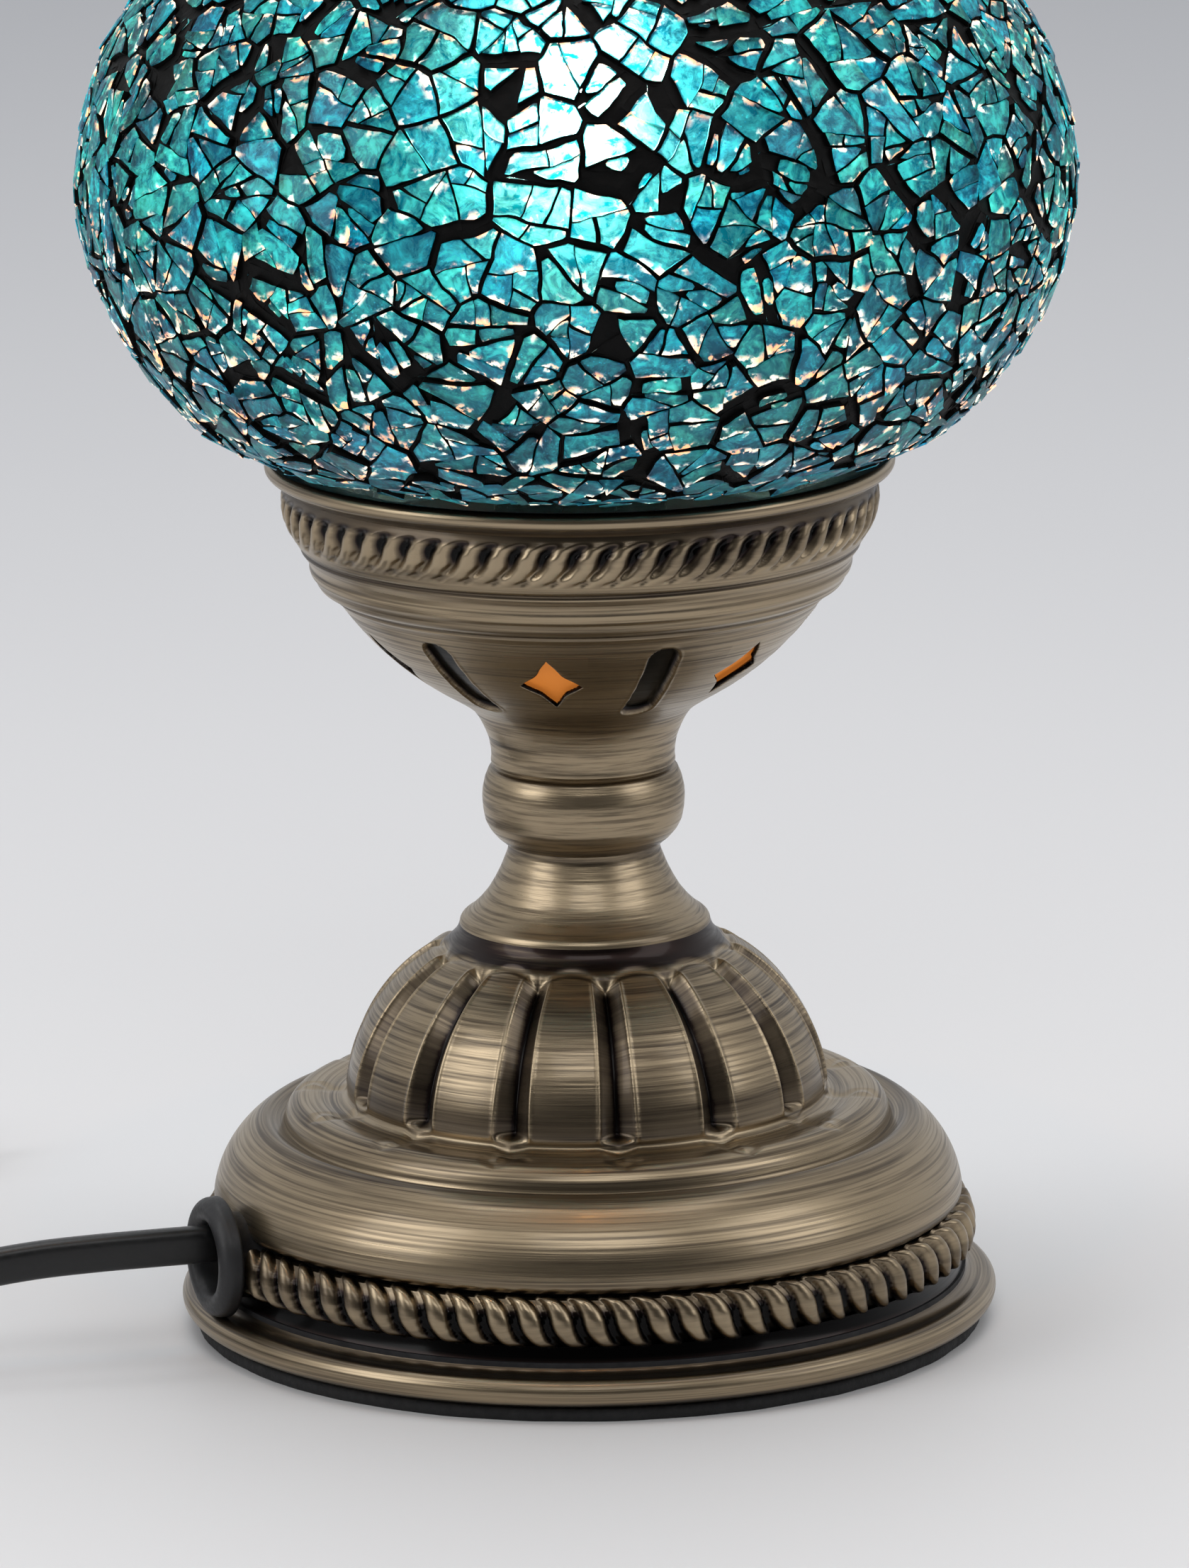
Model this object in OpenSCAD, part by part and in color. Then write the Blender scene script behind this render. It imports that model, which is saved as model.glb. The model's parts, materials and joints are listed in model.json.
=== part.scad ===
// Mosaic glass table lamp: a globe faced with crackled glass chips, on a turned, pierced and
// fluted antique brass stand, with its lampholder, bulb, mains cord, inline switch and plug.
// Millimetres, +Z up. The origin is the centre of the underside of the foot pad; the front is -Y.

/* [Globe] */
// Radius of the globe at its widest, over the chips
globe_r = 81.3; // [79:0.1:83]
// Half the height that the globe's oval would have if it were whole
globe_half_h = 61.7; // [60:0.1:63]
// Height of the globe's widest level
globe_z = 191; // [190:0.5:193]
// Thickness of the chips and their grout
mosaic_t = 2.2; // [1.8:0.1:2.6]
// Wall of the blown glass under the chips
glass_t = 2.4; // [2:0.1:2.8]
// Outer radius of the globe's glass neck
neck_r = 44; // [43.5:0.1:44.2]

/* [Cup] */
// Number of pierced stars round the cup, and of blind slots between them
star_count = 6; // [4:1:7]
// Turn of the first star from the front
star_turn = -9; // [-20:1:20]
// Length of a star along the cup's side
star_len = 13.6; // [10:0.1:15]
// Width of a star round the cup
star_w = 9.6; // [7:0.1:11]
// Wall of the cup
cup_t = 1.6; // [1.5:0.1:1.8]

/* [Stand] */
// Number of flutes round the dome
flute_count = 14; // [10:1:16]
// Turn of the first flute from the front
flute_turn = 7.3; // [0:0.1:25]
// Radius of the round cutter of a flute
flute_cut_r = 3.1; // [2.8:0.1:3.2]
// Radius of the foot at its widest
foot_r = 67.2; // [67:0.1:68]
// Radius of the foot pad
pad_r = 64.8; // [60:0.1:65]
// Thickness of the foot pad
pad_t = 2.2; // [2:0.1:2.4]

/* [Cord] */
// Direction in which the cord leaves the foot
cord_turn = 202; // [200:1:204]
// Width of the flat cord
cord_w = 6.1; // [5.8:0.1:6.2]
// Thickness of the flat cord
cord_t = 4; // [3.8:0.1:4.2]
// Radius of the grommet's flange
grommet_r = 9.9; // [9.5:0.1:10]
// Height of the grommet's centre
grommet_z = 17; // [16.5:0.1:17.5]

/* [Bulb] */
// Radius of the screw cap over its thread
cap_r = 7.05; // [7.03:0.01:7.09]
// Largest radius of the bulb
bulb_r = 17.5; // [16:0.5:18.5]

/* [Hidden] */
$fn = 96;

brass = [0.55, 0.49, 0.39];
bright_brass = [0.78, 0.66, 0.38];
steel = [0.68, 0.69, 0.7];
black = [0.09, 0.09, 0.1];
front = -90;

// Points of an arc about (c, h), from angle a0 to a1 in n steps
function arc(c, h, r, a0, a1, n) =
    [for (i = [0:n]) let (a = a0 + (a1 - a0) * i / n) [c + r * cos(a), h + r * sin(a)]];
// A profile that runs down from the axis, moved d to its inner side
function inset(p, d) =
    [for (i = [0:len(p) - 1])
        let (b = p[min(i + 1, len(p) - 1)] - p[max(i - 1, 0)], s = b / norm(b))
            [max(0, p[i][0] + d * s[1]), p[i][1] - d * s[0]]];
function reversed(p) = [for (i = [len(p) - 1:-1:0]) p[i]];
function unit(v) = v / norm(v);
// A strip of thickness t along a line of points
function strip(p, t) = concat(inset(p, -t / 2), reversed(inset(p, t / 2)));

// The globe's outer profile: an oval that flattens into a low shoulder above the cup
globe_out = concat(arc_oval(globe_r, globe_half_h, globe_z, 90, -40, 40),
                   [[58.4, 149.3], [54.6, 147.6], [50.8, 146.3], [47.2, 145.5]]);
function arc_oval(a, b, h, a0, a1, n) =
    [for (i = [0:n]) let (t = a0 + (a1 - a0) * i / n) [max(0, a * cos(t)), h + b * sin(t)]];
glass_out = inset(globe_out, mosaic_t);
glass_in = inset(globe_out, mosaic_t + glass_t);
neck_z = 131;
neck_in = neck_r - glass_t;

// The cup: rim bead, band for the rope moulding, two thin beads, bowl and neck
bowl_c = -4;
bowl_z = 152;
bowl_r = 53.1;
cup_floor_z = 93.6;
cup_floor_t = 2.4;
film_t = 0.3;
film_gap = 0.02;
cup_out = concat(arc(49.9, 143.7, 1.45, 110, -60, 8),
                 [[49.4, 141.8], [48.3, 141], [48.6, 139.6], [48.7, 137.4], [48.3, 135.2],
                  [47.6, 133.6], [46.9, 132.5], [46.2, 131.2], [45.5, 130.7], [45.7, 130.1],
                  [44.7, 128.8], [44.2, 127.7], [44.3, 127], [44, 126], [43.3, 125.3],
                  [43.2, 124.8], [42.7, 124], [41.7, 123.4], [40.4, 122.9], [40.3, 122.3]],
                 arc(bowl_c, bowl_z, bowl_r, -34.7, -61, 12),
                 [[19.4, 104.1], [18, 103], [17, 101.6], [16.1, 99.8], [15.4, 98], [15.05, 96],
                  [15, 94.8], [15.2, cup_floor_z]]);
cup_in = concat([[48.6, 144.6], [48.1, 142.6], [46.9, 141], [47.1, 139.4], [47.2, 137.4],
                 [46.8, 135.2], [46, 133.4], [45.1, 131.8], [44.4, 130.8], [43.1, 128.6],
                 [42.7, 126.4], [41.2, 124.6], [38.8, 122.6]],
                arc(bowl_c, bowl_z, bowl_r - cup_t, -36.2, -61.5, 12),
                [[17.6, 104.8], [15.6, 102.6], [14.3, 100.2], [13.5, 97.6], [13.4, 96]]);

// The stand: stem, lipped shoulder, dome, bead, torus, rope band and rolled foot
dome_c = 10;
dome_z = 37;
dome_r = 29.6;
bell_top_z = 80.3;
bell_out = concat([[12.5, bell_top_z], [12.45, 79.2], [12.9, 78], [13.7, 76], [14.7, 74],
                   [15.9, 72], [17.4, 70.2], [19, 68.7], [20, 68.1], [20.5, 67.5], [20.6, 66.8],
                   [20.9, 65.8], [21.5, 64.9], [22.2, 64.2]],
                  arc(dome_c, dome_z, dome_r, 64.6, 10.5, 18),
                  [[39.6, 41.9], [40.5, 41], [42, 40.5]],
                  arc(44.8, 35.6, 4.6, 112, -8, 10), [[49.6, 34.6]],
                  arc(45, 20, 16.8, 66, 5, 14),
                  arc(57.2, 15.7, 6.6, 44, -42, 8),
                  arc(63.2, 7, foot_r - 63.2, 84, 0, 7), arc(65.2, 4.6, foot_r - 65.2, 0, -60, 4),
                  [[65.6, 2.6]]);
bell_in = concat([[64.9, 2.6], [64.9, 7.6], [60.8, 10.2], [60.4, 14], [60.4, 17.5], [59.2, 20.4]],
                 arc(45, 20, 14.6, 4, 62, 10),
                 [[47.4, 33.6], [46.6, 36.2], [44.2, 37.8], [38, 38.6]],
                 arc(dome_c, dome_z, dome_r - 3.6, 6, 60, 12),
                 [[18.4, 62], [15, 66.5], [12.4, 70.5], [11, 74.5], [10.6, 76.8]]);
bell_plate_z = 76.8;

// The knuckle between the stem and the cup
knuckle_out = [[14.6, cup_floor_z], [14.7, 93.1], [15.4, 92.9], [16.1, 91.2], [16.5, 89.4],
               [16.6, 88], [16.45, 86], [16.1, 84.2], [15.4, 82.8], [14.2, 81.4], [13.3, 80.7],
               [13, bell_top_z]];

tube_r = 5;
tube_bore_r = 3.6;
tube_hole_r = 5.1;
lug_turns = [30, 150, 270];
lug_r = 56.5;

// Heights of the lampholder and the bulb on the lamp's axis
clip_z = 102;
holder_z = 102.8;
shell_z = 114;
holder_top = 157.5;
thread_z = 136;
tip_z = 136.5;
cap_top = 160.5;
bulb_top = 235.5;

// The flat cord's route where it isn't coiled, leaving the foot through the grommet
cord_dir = [cos(cord_turn), sin(cord_turn), 0];
cord_side = [-sin(cord_turn), cos(cord_turn), 0];
inner_route = [[-54, -21.8, 19.2], [-45, -18.2, 19.8], [-36, -14.5, 22.5], [-27, -10.9, 28],
               [-19, -7.7, 36], [-12, -4.8, 45], [-6, -2.4, 54], [-2, -0.8, 61], [0, 0, 68],
               [0, 0, 90], [0, 0, 111]];
lead_route = [[-54, -21.8, 19.2], [-62, -25, 19.4], [-70, -27.6, 19.5], [-80, -29.8, 19.3],
              [-90, -31.6, 18.7], [-99, -33.6, 17.6], [-107, -35.8, 15.8], [-114, -38.2, 13.6],
              [-121, -40.8, 11.2], [-128, -43, 9.1], [-134, -44, 8]];
link_route = [[-190, -44, 8], [-199, -42.6, 7.6], [-208, -38, 6.6], [-215, -30.6, 5.4],
              [-220, -21, 4.5], [-222, -10, 4], [-222.2, 2, 3.9], [-222.2, 12, 3.9]];
tail_route = [[-205, 44.9, 10], [-196, 51.2, 9.4], [-187, 57.5, 8.2], [-179, 63.1, 7.2],
              [-172, 68, 6.9]];

// The coil: two layers of turns wound beside each other, held by a tie
coil_at = [-182, 12, 0];
coil_in = 25.8;
coil_out = 42.2;
coil_z = 0.8;
coil_h = 12.3;
tie_turn = -50;
tie_t = 0.7;

// The inline switch
switch_at = [-162, -44, 0];
switch_l = 56;
switch_w = 22;
switch_h = 16;
shell_t = 1.8;
rocker_pivot = 12;
rocker_tilt = 8;
rocker_w = 8;
switch_screw_at = [[-20, 6.6], [20, -6.6]];

// The plug lies flat beside the coil
plug_at = [-172, 68, 6.9];
plug_turn = 35;
relief_l = 20;
plug_l = 36;
plug_h = 13.7;
plug_w = 35.3;
pin_gap = 18.6;
pin_r = 2;

// Tube of oval section along a route; side, if given, is the fixed direction of its thickness
module sweep(route, w, t, side = undef) {
    n = 10;
    last = len(route) - 1;
    rings = [for (i = [0:last])
        let (along = unit(route[min(i + 1, last)] - route[max(i - 1, 0)]),
             across = is_undef(side) ? unit(cross(along, [0, 0, 1])) : side,
             up = cross(across, along))
        for (k = [0:n - 1])
            route[i] + across * t / 2 * cos(360 * k / n) + up * w / 2 * sin(360 * k / n)];
    walls = [for (i = [0:last - 1], k = [0:n - 1])
        let (a = i * n + k, b = i * n + (k + 1) % n)
        each [[a, b, a + n], [b, b + n, a + n]]];
    ends = [[for (k = [n - 1:-1:0]) k], [for (k = [0:n - 1]) last * n + k]];
    polyhedron(rings, concat(walls, ends));
}

// Closed ring between an outer and an inner profile that run the same way
module ring(outer, inner) {
    rotate_extrude() polygon(concat(outer, reversed(inner)));
}

// Cutter with a round section that follows an arc in the plane of the axis, with round ends or flat
module groove(c, h, r, cut_r, a0, a1, round_ends = true) {
    translate([c, 0, h]) rotate([90, 0, 0]) {
        rotate([0, 0, a0]) rotate_extrude(angle = a1 - a0) translate([r, 0]) circle(cut_r);
        if (round_ends) for (a = [a0, a1]) rotate([0, 0, a]) translate([r, 0, 0]) sphere(cut_r);
    }
}

module hex_nut(across, h, bore_r) {
    difference() {
        cylinder(r = across / sqrt(3), h = h, $fn = 6);
        translate([0, 0, -1]) cylinder(r = bore_r, h = h + 2);
    }
}

// Washer or tube with a true bore
module sleeve(r_out, r_in, h) {
    difference() {
        cylinder(r = r_out, h = h);
        translate([0, 0, -1]) cylinder(r = r_in, h = h + 2);
    }
}

// Slab with round corners, standing on z = 0
module slab(l, w, h, r) {
    for (x = [-1, 1], y = [-1, 1]) translate([x * (l / 2 - r), y * (w / 2 - r), 0]) cylinder(r = r, h = h);
    translate([-l / 2, r - w / 2, 0]) cube([l, w - 2 * r, h]);
    translate([r - l / 2, -w / 2, 0]) cube([l - 2 * r, w, h]);
}

// Four-pointed star with hollow sides, length l along x and width w along y
module star(l, w) {
    steps = 6;
    waist = 0.6;
    polygon([for (q = [0:3], i = [0:steps - 1])
        let (a = 90 * q + 90 * i / steps, s = 1 - (1 - waist) * sin(180 * i / steps))
            [l / 2 * s * cos(a), w / 2 * s * sin(a)]]);
}

module globe_glass() {
    color([0.75, 0.9, 0.9, 0.5])
        ring(concat(glass_out, [[neck_r, 147], [neck_r, neck_z]]),
             concat(glass_in, [[neck_in, 148], [neck_in, neck_z]]));
}

module globe_mosaic() {
    color([0.1, 0.6, 0.65]) ring(globe_out, glass_out);
}

// Spring with three arms that press against the inside of the globe's neck
module globe_clip() {
    arm = [[10, clip_z + 0.3], [13.4, clip_z + 1.4], [17, 107.2], [24, 112.8], [31, 118.4],
           [36.6, 124], [39.6, 129.6], [40.6, 134], [40.9, 138], [39.6, 143.5]];
    arm_w = 7;
    color(steel) {
        translate([0, 0, clip_z]) sleeve(11, tube_hole_r, 0.6);
        for (k = [0:2]) rotate([0, 0, 120 * k + 90]) rotate([90, 0, 0])
            translate([0, 0, -arm_w / 2]) linear_extrude(arm_w) polygon(strip(arm, 0.6));
    }
}

// Soft ring in the cup that the glass neck stands on
module seat_gasket() {
    color(black) rotate_extrude()
        polygon([[40.8, 130.8], [44.2, 130.8], [43, 128.6], [42.6, 126.6], [40.8, 126.6]]);
}

module gallery_cup() {
    star_c = 31.4;
    star_a = -asin((bowl_z - 112.9) / bowl_r);
    slot_depth = 1;
    slot_cut_r = 3.2;
    color(brass) difference() {
        ring(concat(cup_out, [[0, cup_floor_z]]), concat(cup_in, [[0, cup_floor_z + cup_floor_t]]));
        translate([0, 0, 90]) cylinder(r = tube_hole_r, h = 20);
        for (k = [0:star_count - 1]) rotate([0, 0, front + star_turn + 360 / star_count * k]) {
            translate([star_c, 0, 112.9]) rotate([0, 90 - star_a, 0])
                translate([0, 0, -6]) linear_extrude(12) star(star_len, star_w);
            rotate([0, 0, 180 / star_count])
                groove(bowl_c, bowl_z, bowl_r + slot_cut_r - slot_depth, slot_cut_r, -58, -39);
        }
    }
}

// Amber film glued round the inside of the bowl, behind the stars
module cup_lining() {
    film_r = bowl_r - cup_t - film_gap;
    color([0.8, 0.45, 0.1]) rotate_extrude()
        polygon(concat(arc(bowl_c, bowl_z, film_r, -38, -59, 12),
                       arc(bowl_c, bowl_z, film_r - film_t, -59, -38, 12)));
}

module knuckle_collar() {
    color(brass) rotate_extrude()
        polygon(concat([[tube_hole_r, cup_floor_z]], knuckle_out, [[tube_hole_r, bell_top_z]]));
}

module base_bell() {
    flute_depth = 1.7;
    color(brass) difference() {
        union() {
            rotate_extrude() polygon(concat([[tube_hole_r, bell_top_z]], bell_out, bell_in,
                                            [[tube_hole_r, bell_plate_z]]));
            intersection() {
                for (a = lug_turns) rotate([0, 0, a])
                    translate([lug_r - 5, -6, 11]) cube([14, 12, 4.6]);
                cylinder(r = 61.4, h = 20);
            }
        }
        for (k = [0:flute_count - 1]) rotate([0, 0, front + flute_turn + 360 / flute_count * k])
            groove(dome_c, dome_z, dome_r + flute_cut_r - flute_depth, flute_cut_r, 14, 60, false);
        rotate([0, 0, cord_turn]) translate([0, 0, grommet_z]) rotate([0, 90, 0]) {
            translate([0, 0, 50]) cylinder(r = 7.2, h = 20);
            translate([0, 0, 64.2]) cylinder(r = grommet_r + 0.3, h = 10);
        }
        for (a = lug_turns) rotate([0, 0, a]) translate([lug_r, 0, 5]) cylinder(r = 1.6, h = 8.4);
    }
}

module base_weight() {
    color([0.25, 0.25, 0.27]) translate([0, 0, 4]) difference() {
        cylinder(r = 62.2, h = 5);
        translate([0, 0, -1]) cylinder(r = 15, h = 8);
        for (a = lug_turns) rotate([0, 0, a]) translate([lug_r, 0, -1]) cylinder(r = 2.2, h = 8);
    }
}

module bottom_plate() {
    color(steel) translate([0, 0, 2.6]) difference() {
        cylinder(r = 64.4, h = 1.2);
        for (a = lug_turns) rotate([0, 0, a]) translate([lug_r, 0, -1]) cylinder(r = 2.2, h = 4);
    }
}

module plate_screws() {
    color(steel) for (a = lug_turns) rotate([0, 0, a]) translate([lug_r, 0, 0]) {
        translate([0, 0, pad_t + 0.05]) cylinder(r = 1.55, h = 10.8);
        translate([0, 0, pad_t + 0.05]) cylinder(r = 2.1, h = 1.4);
    }
}

module foot_pad() {
    color(black) cylinder(r = pad_r, h = pad_t);
}

module threaded_tube() {
    color(bright_brass) translate([0, 0, 66]) sleeve(tube_r, tube_bore_r, 46);
}

module upper_washer() {
    color(steel) translate([0, 0, 96]) sleeve(10.5, tube_hole_r, 1.2);
}

module upper_nut() {
    color(bright_brass) translate([0, 0, 97.2]) hex_nut(14, 4.6, tube_r + 0.04);
}

module lower_washer() {
    color(steel) translate([0, 0, bell_plate_z - 1.2]) sleeve(9.5, tube_hole_r, 1.2);
}

module lower_nut() {
    color(bright_brass) translate([0, 0, bell_plate_z - 5.8]) hex_nut(14, 4.6, tube_r + 0.04);
}

// Cap that screws on the tube and carries the lampholder
module holder_base() {
    color([0.12, 0.12, 0.12]) rotate_extrude()
        polygon([[tube_r + 0.04, holder_z], [9, holder_z], [9.4, 106.4], [13.6, 109.4],
                 [14, 110.4], [14, shell_z], [12.3, shell_z], [12.3, 111.6], [tube_r + 0.04, 110.6]]);
}

module holder_shell() {
    color([0.12, 0.12, 0.12]) rotate_extrude()
        polygon([[12.5, shell_z + 0.05], [14, shell_z + 0.05], [14, 150], [14.6, 151],
                 [14.6, 153], [14, 154], [13.6, holder_top], [12.5, holder_top]]);
}

module holder_insert() {
    color([0.85, 0.83, 0.78]) difference() {
        translate([0, 0, shell_z + 0.1]) cylinder(r = 12.4, h = holder_top - shell_z - 0.1);
        translate([0, 0, 135]) cylinder(r = 8.1, h = 30);
        translate([0, 0, 113]) cylinder(r = 9, h = 12);
        for (y = [-1, 1]) translate([0, y * 10, 121]) rotate([90, 0, 0])
            translate([0, 0, -5]) cylinder(r = 1.7, h = 10);
    }
}

module holder_thread() {
    color(bright_brass) translate([0, 0, thread_z]) sleeve(8.05, cap_r + 0.05, 21);
}

module centre_contact() {
    color(bright_brass) {
        translate([-6, -2, 135]) cube([12, 4, 0.6]);
        translate([0, 0, 135.5]) cylinder(r1 = 2, r2 = 1.4, h = 0.95);
    }
}

module terminal_screws() {
    color(steel) for (y = [-1, 1]) translate([0, y * 9.4, 121]) rotate([90, 0, 0])
        translate([0, 0, -2.4]) cylinder(r = 1.6, h = 4.8);
}

// The two cores from the end of the lead to the terminals
module core_wires() {
    color([0.1, 0.3, 0.7]) for (y = [-1, 1])
        sweep([[0, y * 1.2, 111], [0, y * 1.6, 114], [0, y * 3, 117], [0, y * 5, 119.4],
               [0, y * 6.8, 121]], 1.8, 1.8, [1, 0, 0]);
}

module bulb_tip() {
    color(steel) translate([0, 0, tip_z]) cylinder(r1 = 1.8, r2 = 2.6, h = 0.9);
}

module bulb_insulator() {
    color(black) translate([0, 0, tip_z + 0.9]) cylinder(r1 = 3.2, r2 = 6.6, h = 2.2);
}

module bulb_cap() {
    color(bright_brass) rotate_extrude()
        polygon([[0, tip_z + 3.1], [6.6, tip_z + 3.1], [cap_r, 140.4], [cap_r, 158.2],
                 [9.2, 159.8], [9.2, cap_top], [6.2, cap_top], [6.2, 141], [0, 141]]);
}

bulb_out = [[0, bulb_top], [3.4, 233.4], [7.2, 227.6], [11.2, 219], [14.8, 209.4],
            [bulb_r - 0.6, 200], [bulb_r, 191], [bulb_r - 0.7, 183], [14, 174],
            [10.6, 166], [8.9, cap_top]];

module bulb_glass() {
    color([1, 0.95, 0.8, 0.5]) ring(bulb_out, inset(bulb_out, 0.8));
}

module bulb_stem() {
    color([0.9, 0.95, 0.95, 0.6]) rotate_extrude()
        polygon([[0, 141.1], [5, 141.1], [5, 158], [3, 164], [2, 182], [0, 183]]);
}

module bulb_filament() {
    color([1, 0.8, 0.4]) {
        translate([0, 0, 190]) cylinder(r = 1.6, h = 20);
        for (x = [-1, 1]) translate([x, 0, 181.5]) cylinder(r = 0.4, h = 9);
    }
}

module grommet() {
    hole_r = 5.8;
    color(black) rotate([0, 0, cord_turn]) translate([0, 0, grommet_z]) rotate([0, 90, 0])
        rotate_extrude()
            polygon(concat([[hole_r, 56], [7.9, 56], [7.9, 58], [7, 58.4], [7, 64.3],
                            [grommet_r, 64.3], [grommet_r, 65.2]],
                           arc(7.4, 65.6, 2.4, 0, 90, 5), [[6.4, 67.8], [hole_r, 67.2]]));
}

// Block that grips the cord behind the grommet
module cord_anchor() {
    color([0.9, 0.9, 0.86]) rotate([0, 0, cord_turn]) translate([46, -6, 14]) difference() {
        cube([7, 12, 11]);
        translate([-1, 3.9, 1.9]) cube([9, 4.2, 7.4]);
    }
}

module inner_lead() {
    color(black) sweep(inner_route, cord_w, cord_t, cord_side);
}

module cord_lead() {
    color(black) sweep(lead_route, cord_w, cord_t);
}

module cord_link() {
    color(black) sweep(link_route, cord_w, cord_t);
}

module cord_coil() {
    bevel = 1.4;
    color(black) translate(coil_at) translate([0, 0, coil_z]) rotate_extrude()
        polygon([[coil_in + bevel, 0], [coil_out - bevel, 0], [coil_out, bevel],
                 [coil_out, coil_h - bevel], [coil_out - bevel, coil_h],
                 [coil_in + bevel, coil_h], [coil_in, coil_h - bevel], [coil_in, bevel]]);
}

module cord_tail() {
    color(black) sweep(tail_route, cord_w, cord_t);
}

module cord_tie() {
    tie_w = 9;
    color([0.2, 0.2, 0.21]) translate(coil_at) rotate([0, 0, tie_turn])
        translate([24.3, -tie_w / 2, 0]) difference() {
            cube([18.9, tie_w, coil_z + coil_h + 0.2 + tie_t]);
            translate([tie_t, -1, tie_t]) cube([18.9 - 2 * tie_t, tie_w + 2, coil_h + 0.3]);
        }
}

// Rectangular notches for the cord at both ends of a switch shell
module cord_notches() {
    for (x = [-1, 1]) translate([x * (switch_l / 2 - 1) - 3, -cord_t / 2 - 0.1, 8 - cord_w / 2 - 0.1])
        cube([6, cord_t + 0.2, cord_w + 0.2]);
}

module switch_base() {
    color(black) translate(switch_at) difference() {
        union() {
            difference() {
                slab(switch_l, switch_w, 8, 7);
                translate([0, 0, shell_t]) slab(switch_l - 2 * shell_t, switch_w - 2 * shell_t, 8, 5.2);
            }
            for (p = switch_screw_at) translate([p[0], p[1], 0]) cylinder(r = 2.8, h = 7.9);
        }
        for (p = switch_screw_at) translate([p[0], p[1], -1]) {
            cylinder(r = 1.5, h = 12);
            cylinder(r = 2.3, h = 3);
        }
        cord_notches();
    }
}

module switch_cover() {
    color(black) translate(switch_at) difference() {
        union() {
            difference() {
                translate([0, 0, 8.02]) slab(switch_l, switch_w, switch_h - 8.02, 7);
                translate([0, 0, 4]) slab(switch_l - 2 * shell_t, switch_w - 2 * shell_t,
                                          switch_h - 4 - shell_t, 5.2);
            }
            for (p = switch_screw_at) translate([p[0], p[1], 8.1]) cylinder(r = 2.8, h = 7);
            for (y = [-1, 1]) translate([-3, y * 6.1 - 0.9, 10]) cube([6, 1.8, 5]);
        }
        translate([-7.1, -rocker_w / 2 - 0.3, 10]) cube([14.2, rocker_w + 0.6, 10]);
        for (p = switch_screw_at) translate([p[0], p[1], 5]) cylinder(r = 1.3, h = 8);
        translate([0, 0, rocker_pivot]) rotate([90, 0, 0]) translate([0, 0, -8]) cylinder(r = 1.1, h = 16);
        cord_notches();
    }
}

module switch_rocker() {
    color([0.16, 0.16, 0.17]) translate(switch_at) translate([0, 0, rocker_pivot])
        rotate([0, rocker_tilt, 0]) rotate([90, 0, 0]) translate([0, 0, -rocker_w / 2])
            linear_extrude(rocker_w) difference() {
                polygon([[-6.2, 1], [-6.2, 4.2], [-3.2, 3.3], [0, 3], [3.2, 3.3], [6.2, 4.2],
                         [6.2, 1], [2.2, -2.6], [-2.2, -2.6]]);
                circle(1.14);
            }
}

module rocker_pin() {
    color(steel) translate(switch_at) translate([0, 0, rocker_pivot]) rotate([90, 0, 0])
        translate([0, 0, -6.9]) cylinder(r = 1.08, h = 13.8);
}

module switch_terminals() {
    color(bright_brass) translate(switch_at) for (x = [-1, 1]) translate([x * 14 - 3, -3, 2]) {
        difference() {
            cube([6, 6, 5]);
            translate([3, 3, 3]) cylinder(r = 1.2, h = 4);
        }
    }
}

module switch_screws() {
    color(steel) translate(switch_at) for (p = switch_screw_at) translate([p[0], p[1], 0.8]) {
        cylinder(r = 1.25, h = 11);
        cylinder(r = 2.1, h = 1.1);
    }
}

// Everything on the plug is drawn along +X from the cord's end
module on_plug() {
    translate(plug_at) rotate([0, 0, plug_turn]) rotate([0, 90, 0]) children();
}

module plug_relief() {
    color(black) on_plug() cylinder(r1 = 3.6, r2 = 5.4, h = relief_l);
}

module plug_body() {
    tail_w = 12;
    color(black) translate(plug_at) rotate([0, 0, plug_turn])
        translate([relief_l, 0, -6.8]) linear_extrude(plug_h)
            polygon([[0, -tail_w / 2], [0, tail_w / 2], [10, 9], [20, 15.6], [27, plug_w / 2],
                     [plug_l, plug_w / 2], [plug_l, -plug_w / 2], [27, -plug_w / 2],
                     [20, -15.6], [10, -9]]);
}

module plug_sleeves() {
    color(black) on_plug() for (y = [-1, 1]) translate([0, y * pin_gap / 2, relief_l + plug_l])
        cylinder(r = 1.8, h = 10);
}

module plug_pins() {
    color(steel) on_plug() for (y = [-1, 1])
        translate([0, y * pin_gap / 2, relief_l + plug_l + 10]) {
            cylinder(r = pin_r, h = 8.2);
            translate([0, 0, 8.2]) cylinder(r1 = pin_r, r2 = 1.2, h = 0.8);
        }
}

globe_glass();
globe_mosaic();
globe_clip();
seat_gasket();
gallery_cup();
cup_lining();
knuckle_collar();
base_bell();
base_weight();
bottom_plate();
plate_screws();
foot_pad();
threaded_tube();
upper_nut();
upper_washer();
lower_nut();
lower_washer();
holder_base();
holder_shell();
holder_insert();
holder_thread();
centre_contact();
terminal_screws();
core_wires();
bulb_tip();
bulb_insulator();
bulb_cap();
bulb_glass();
bulb_stem();
bulb_filament();
grommet();
cord_anchor();
inner_lead();
cord_lead();
cord_link();
cord_coil();
cord_tail();
cord_tie();
switch_base();
switch_cover();
switch_rocker();
rocker_pin();
switch_terminals();
switch_screws();
plug_relief();
plug_body();
plug_sleeves();
plug_pins();
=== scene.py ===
"""Looks of a mosaic glass table lamp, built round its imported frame.

Metres, +Z up, the front is -Y. Profiles are written in millimetres and scaled by MM.
"""
import json
import math
import random

import bpy
import numpy as np
from mathutils import Matrix, Vector, noise


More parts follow.
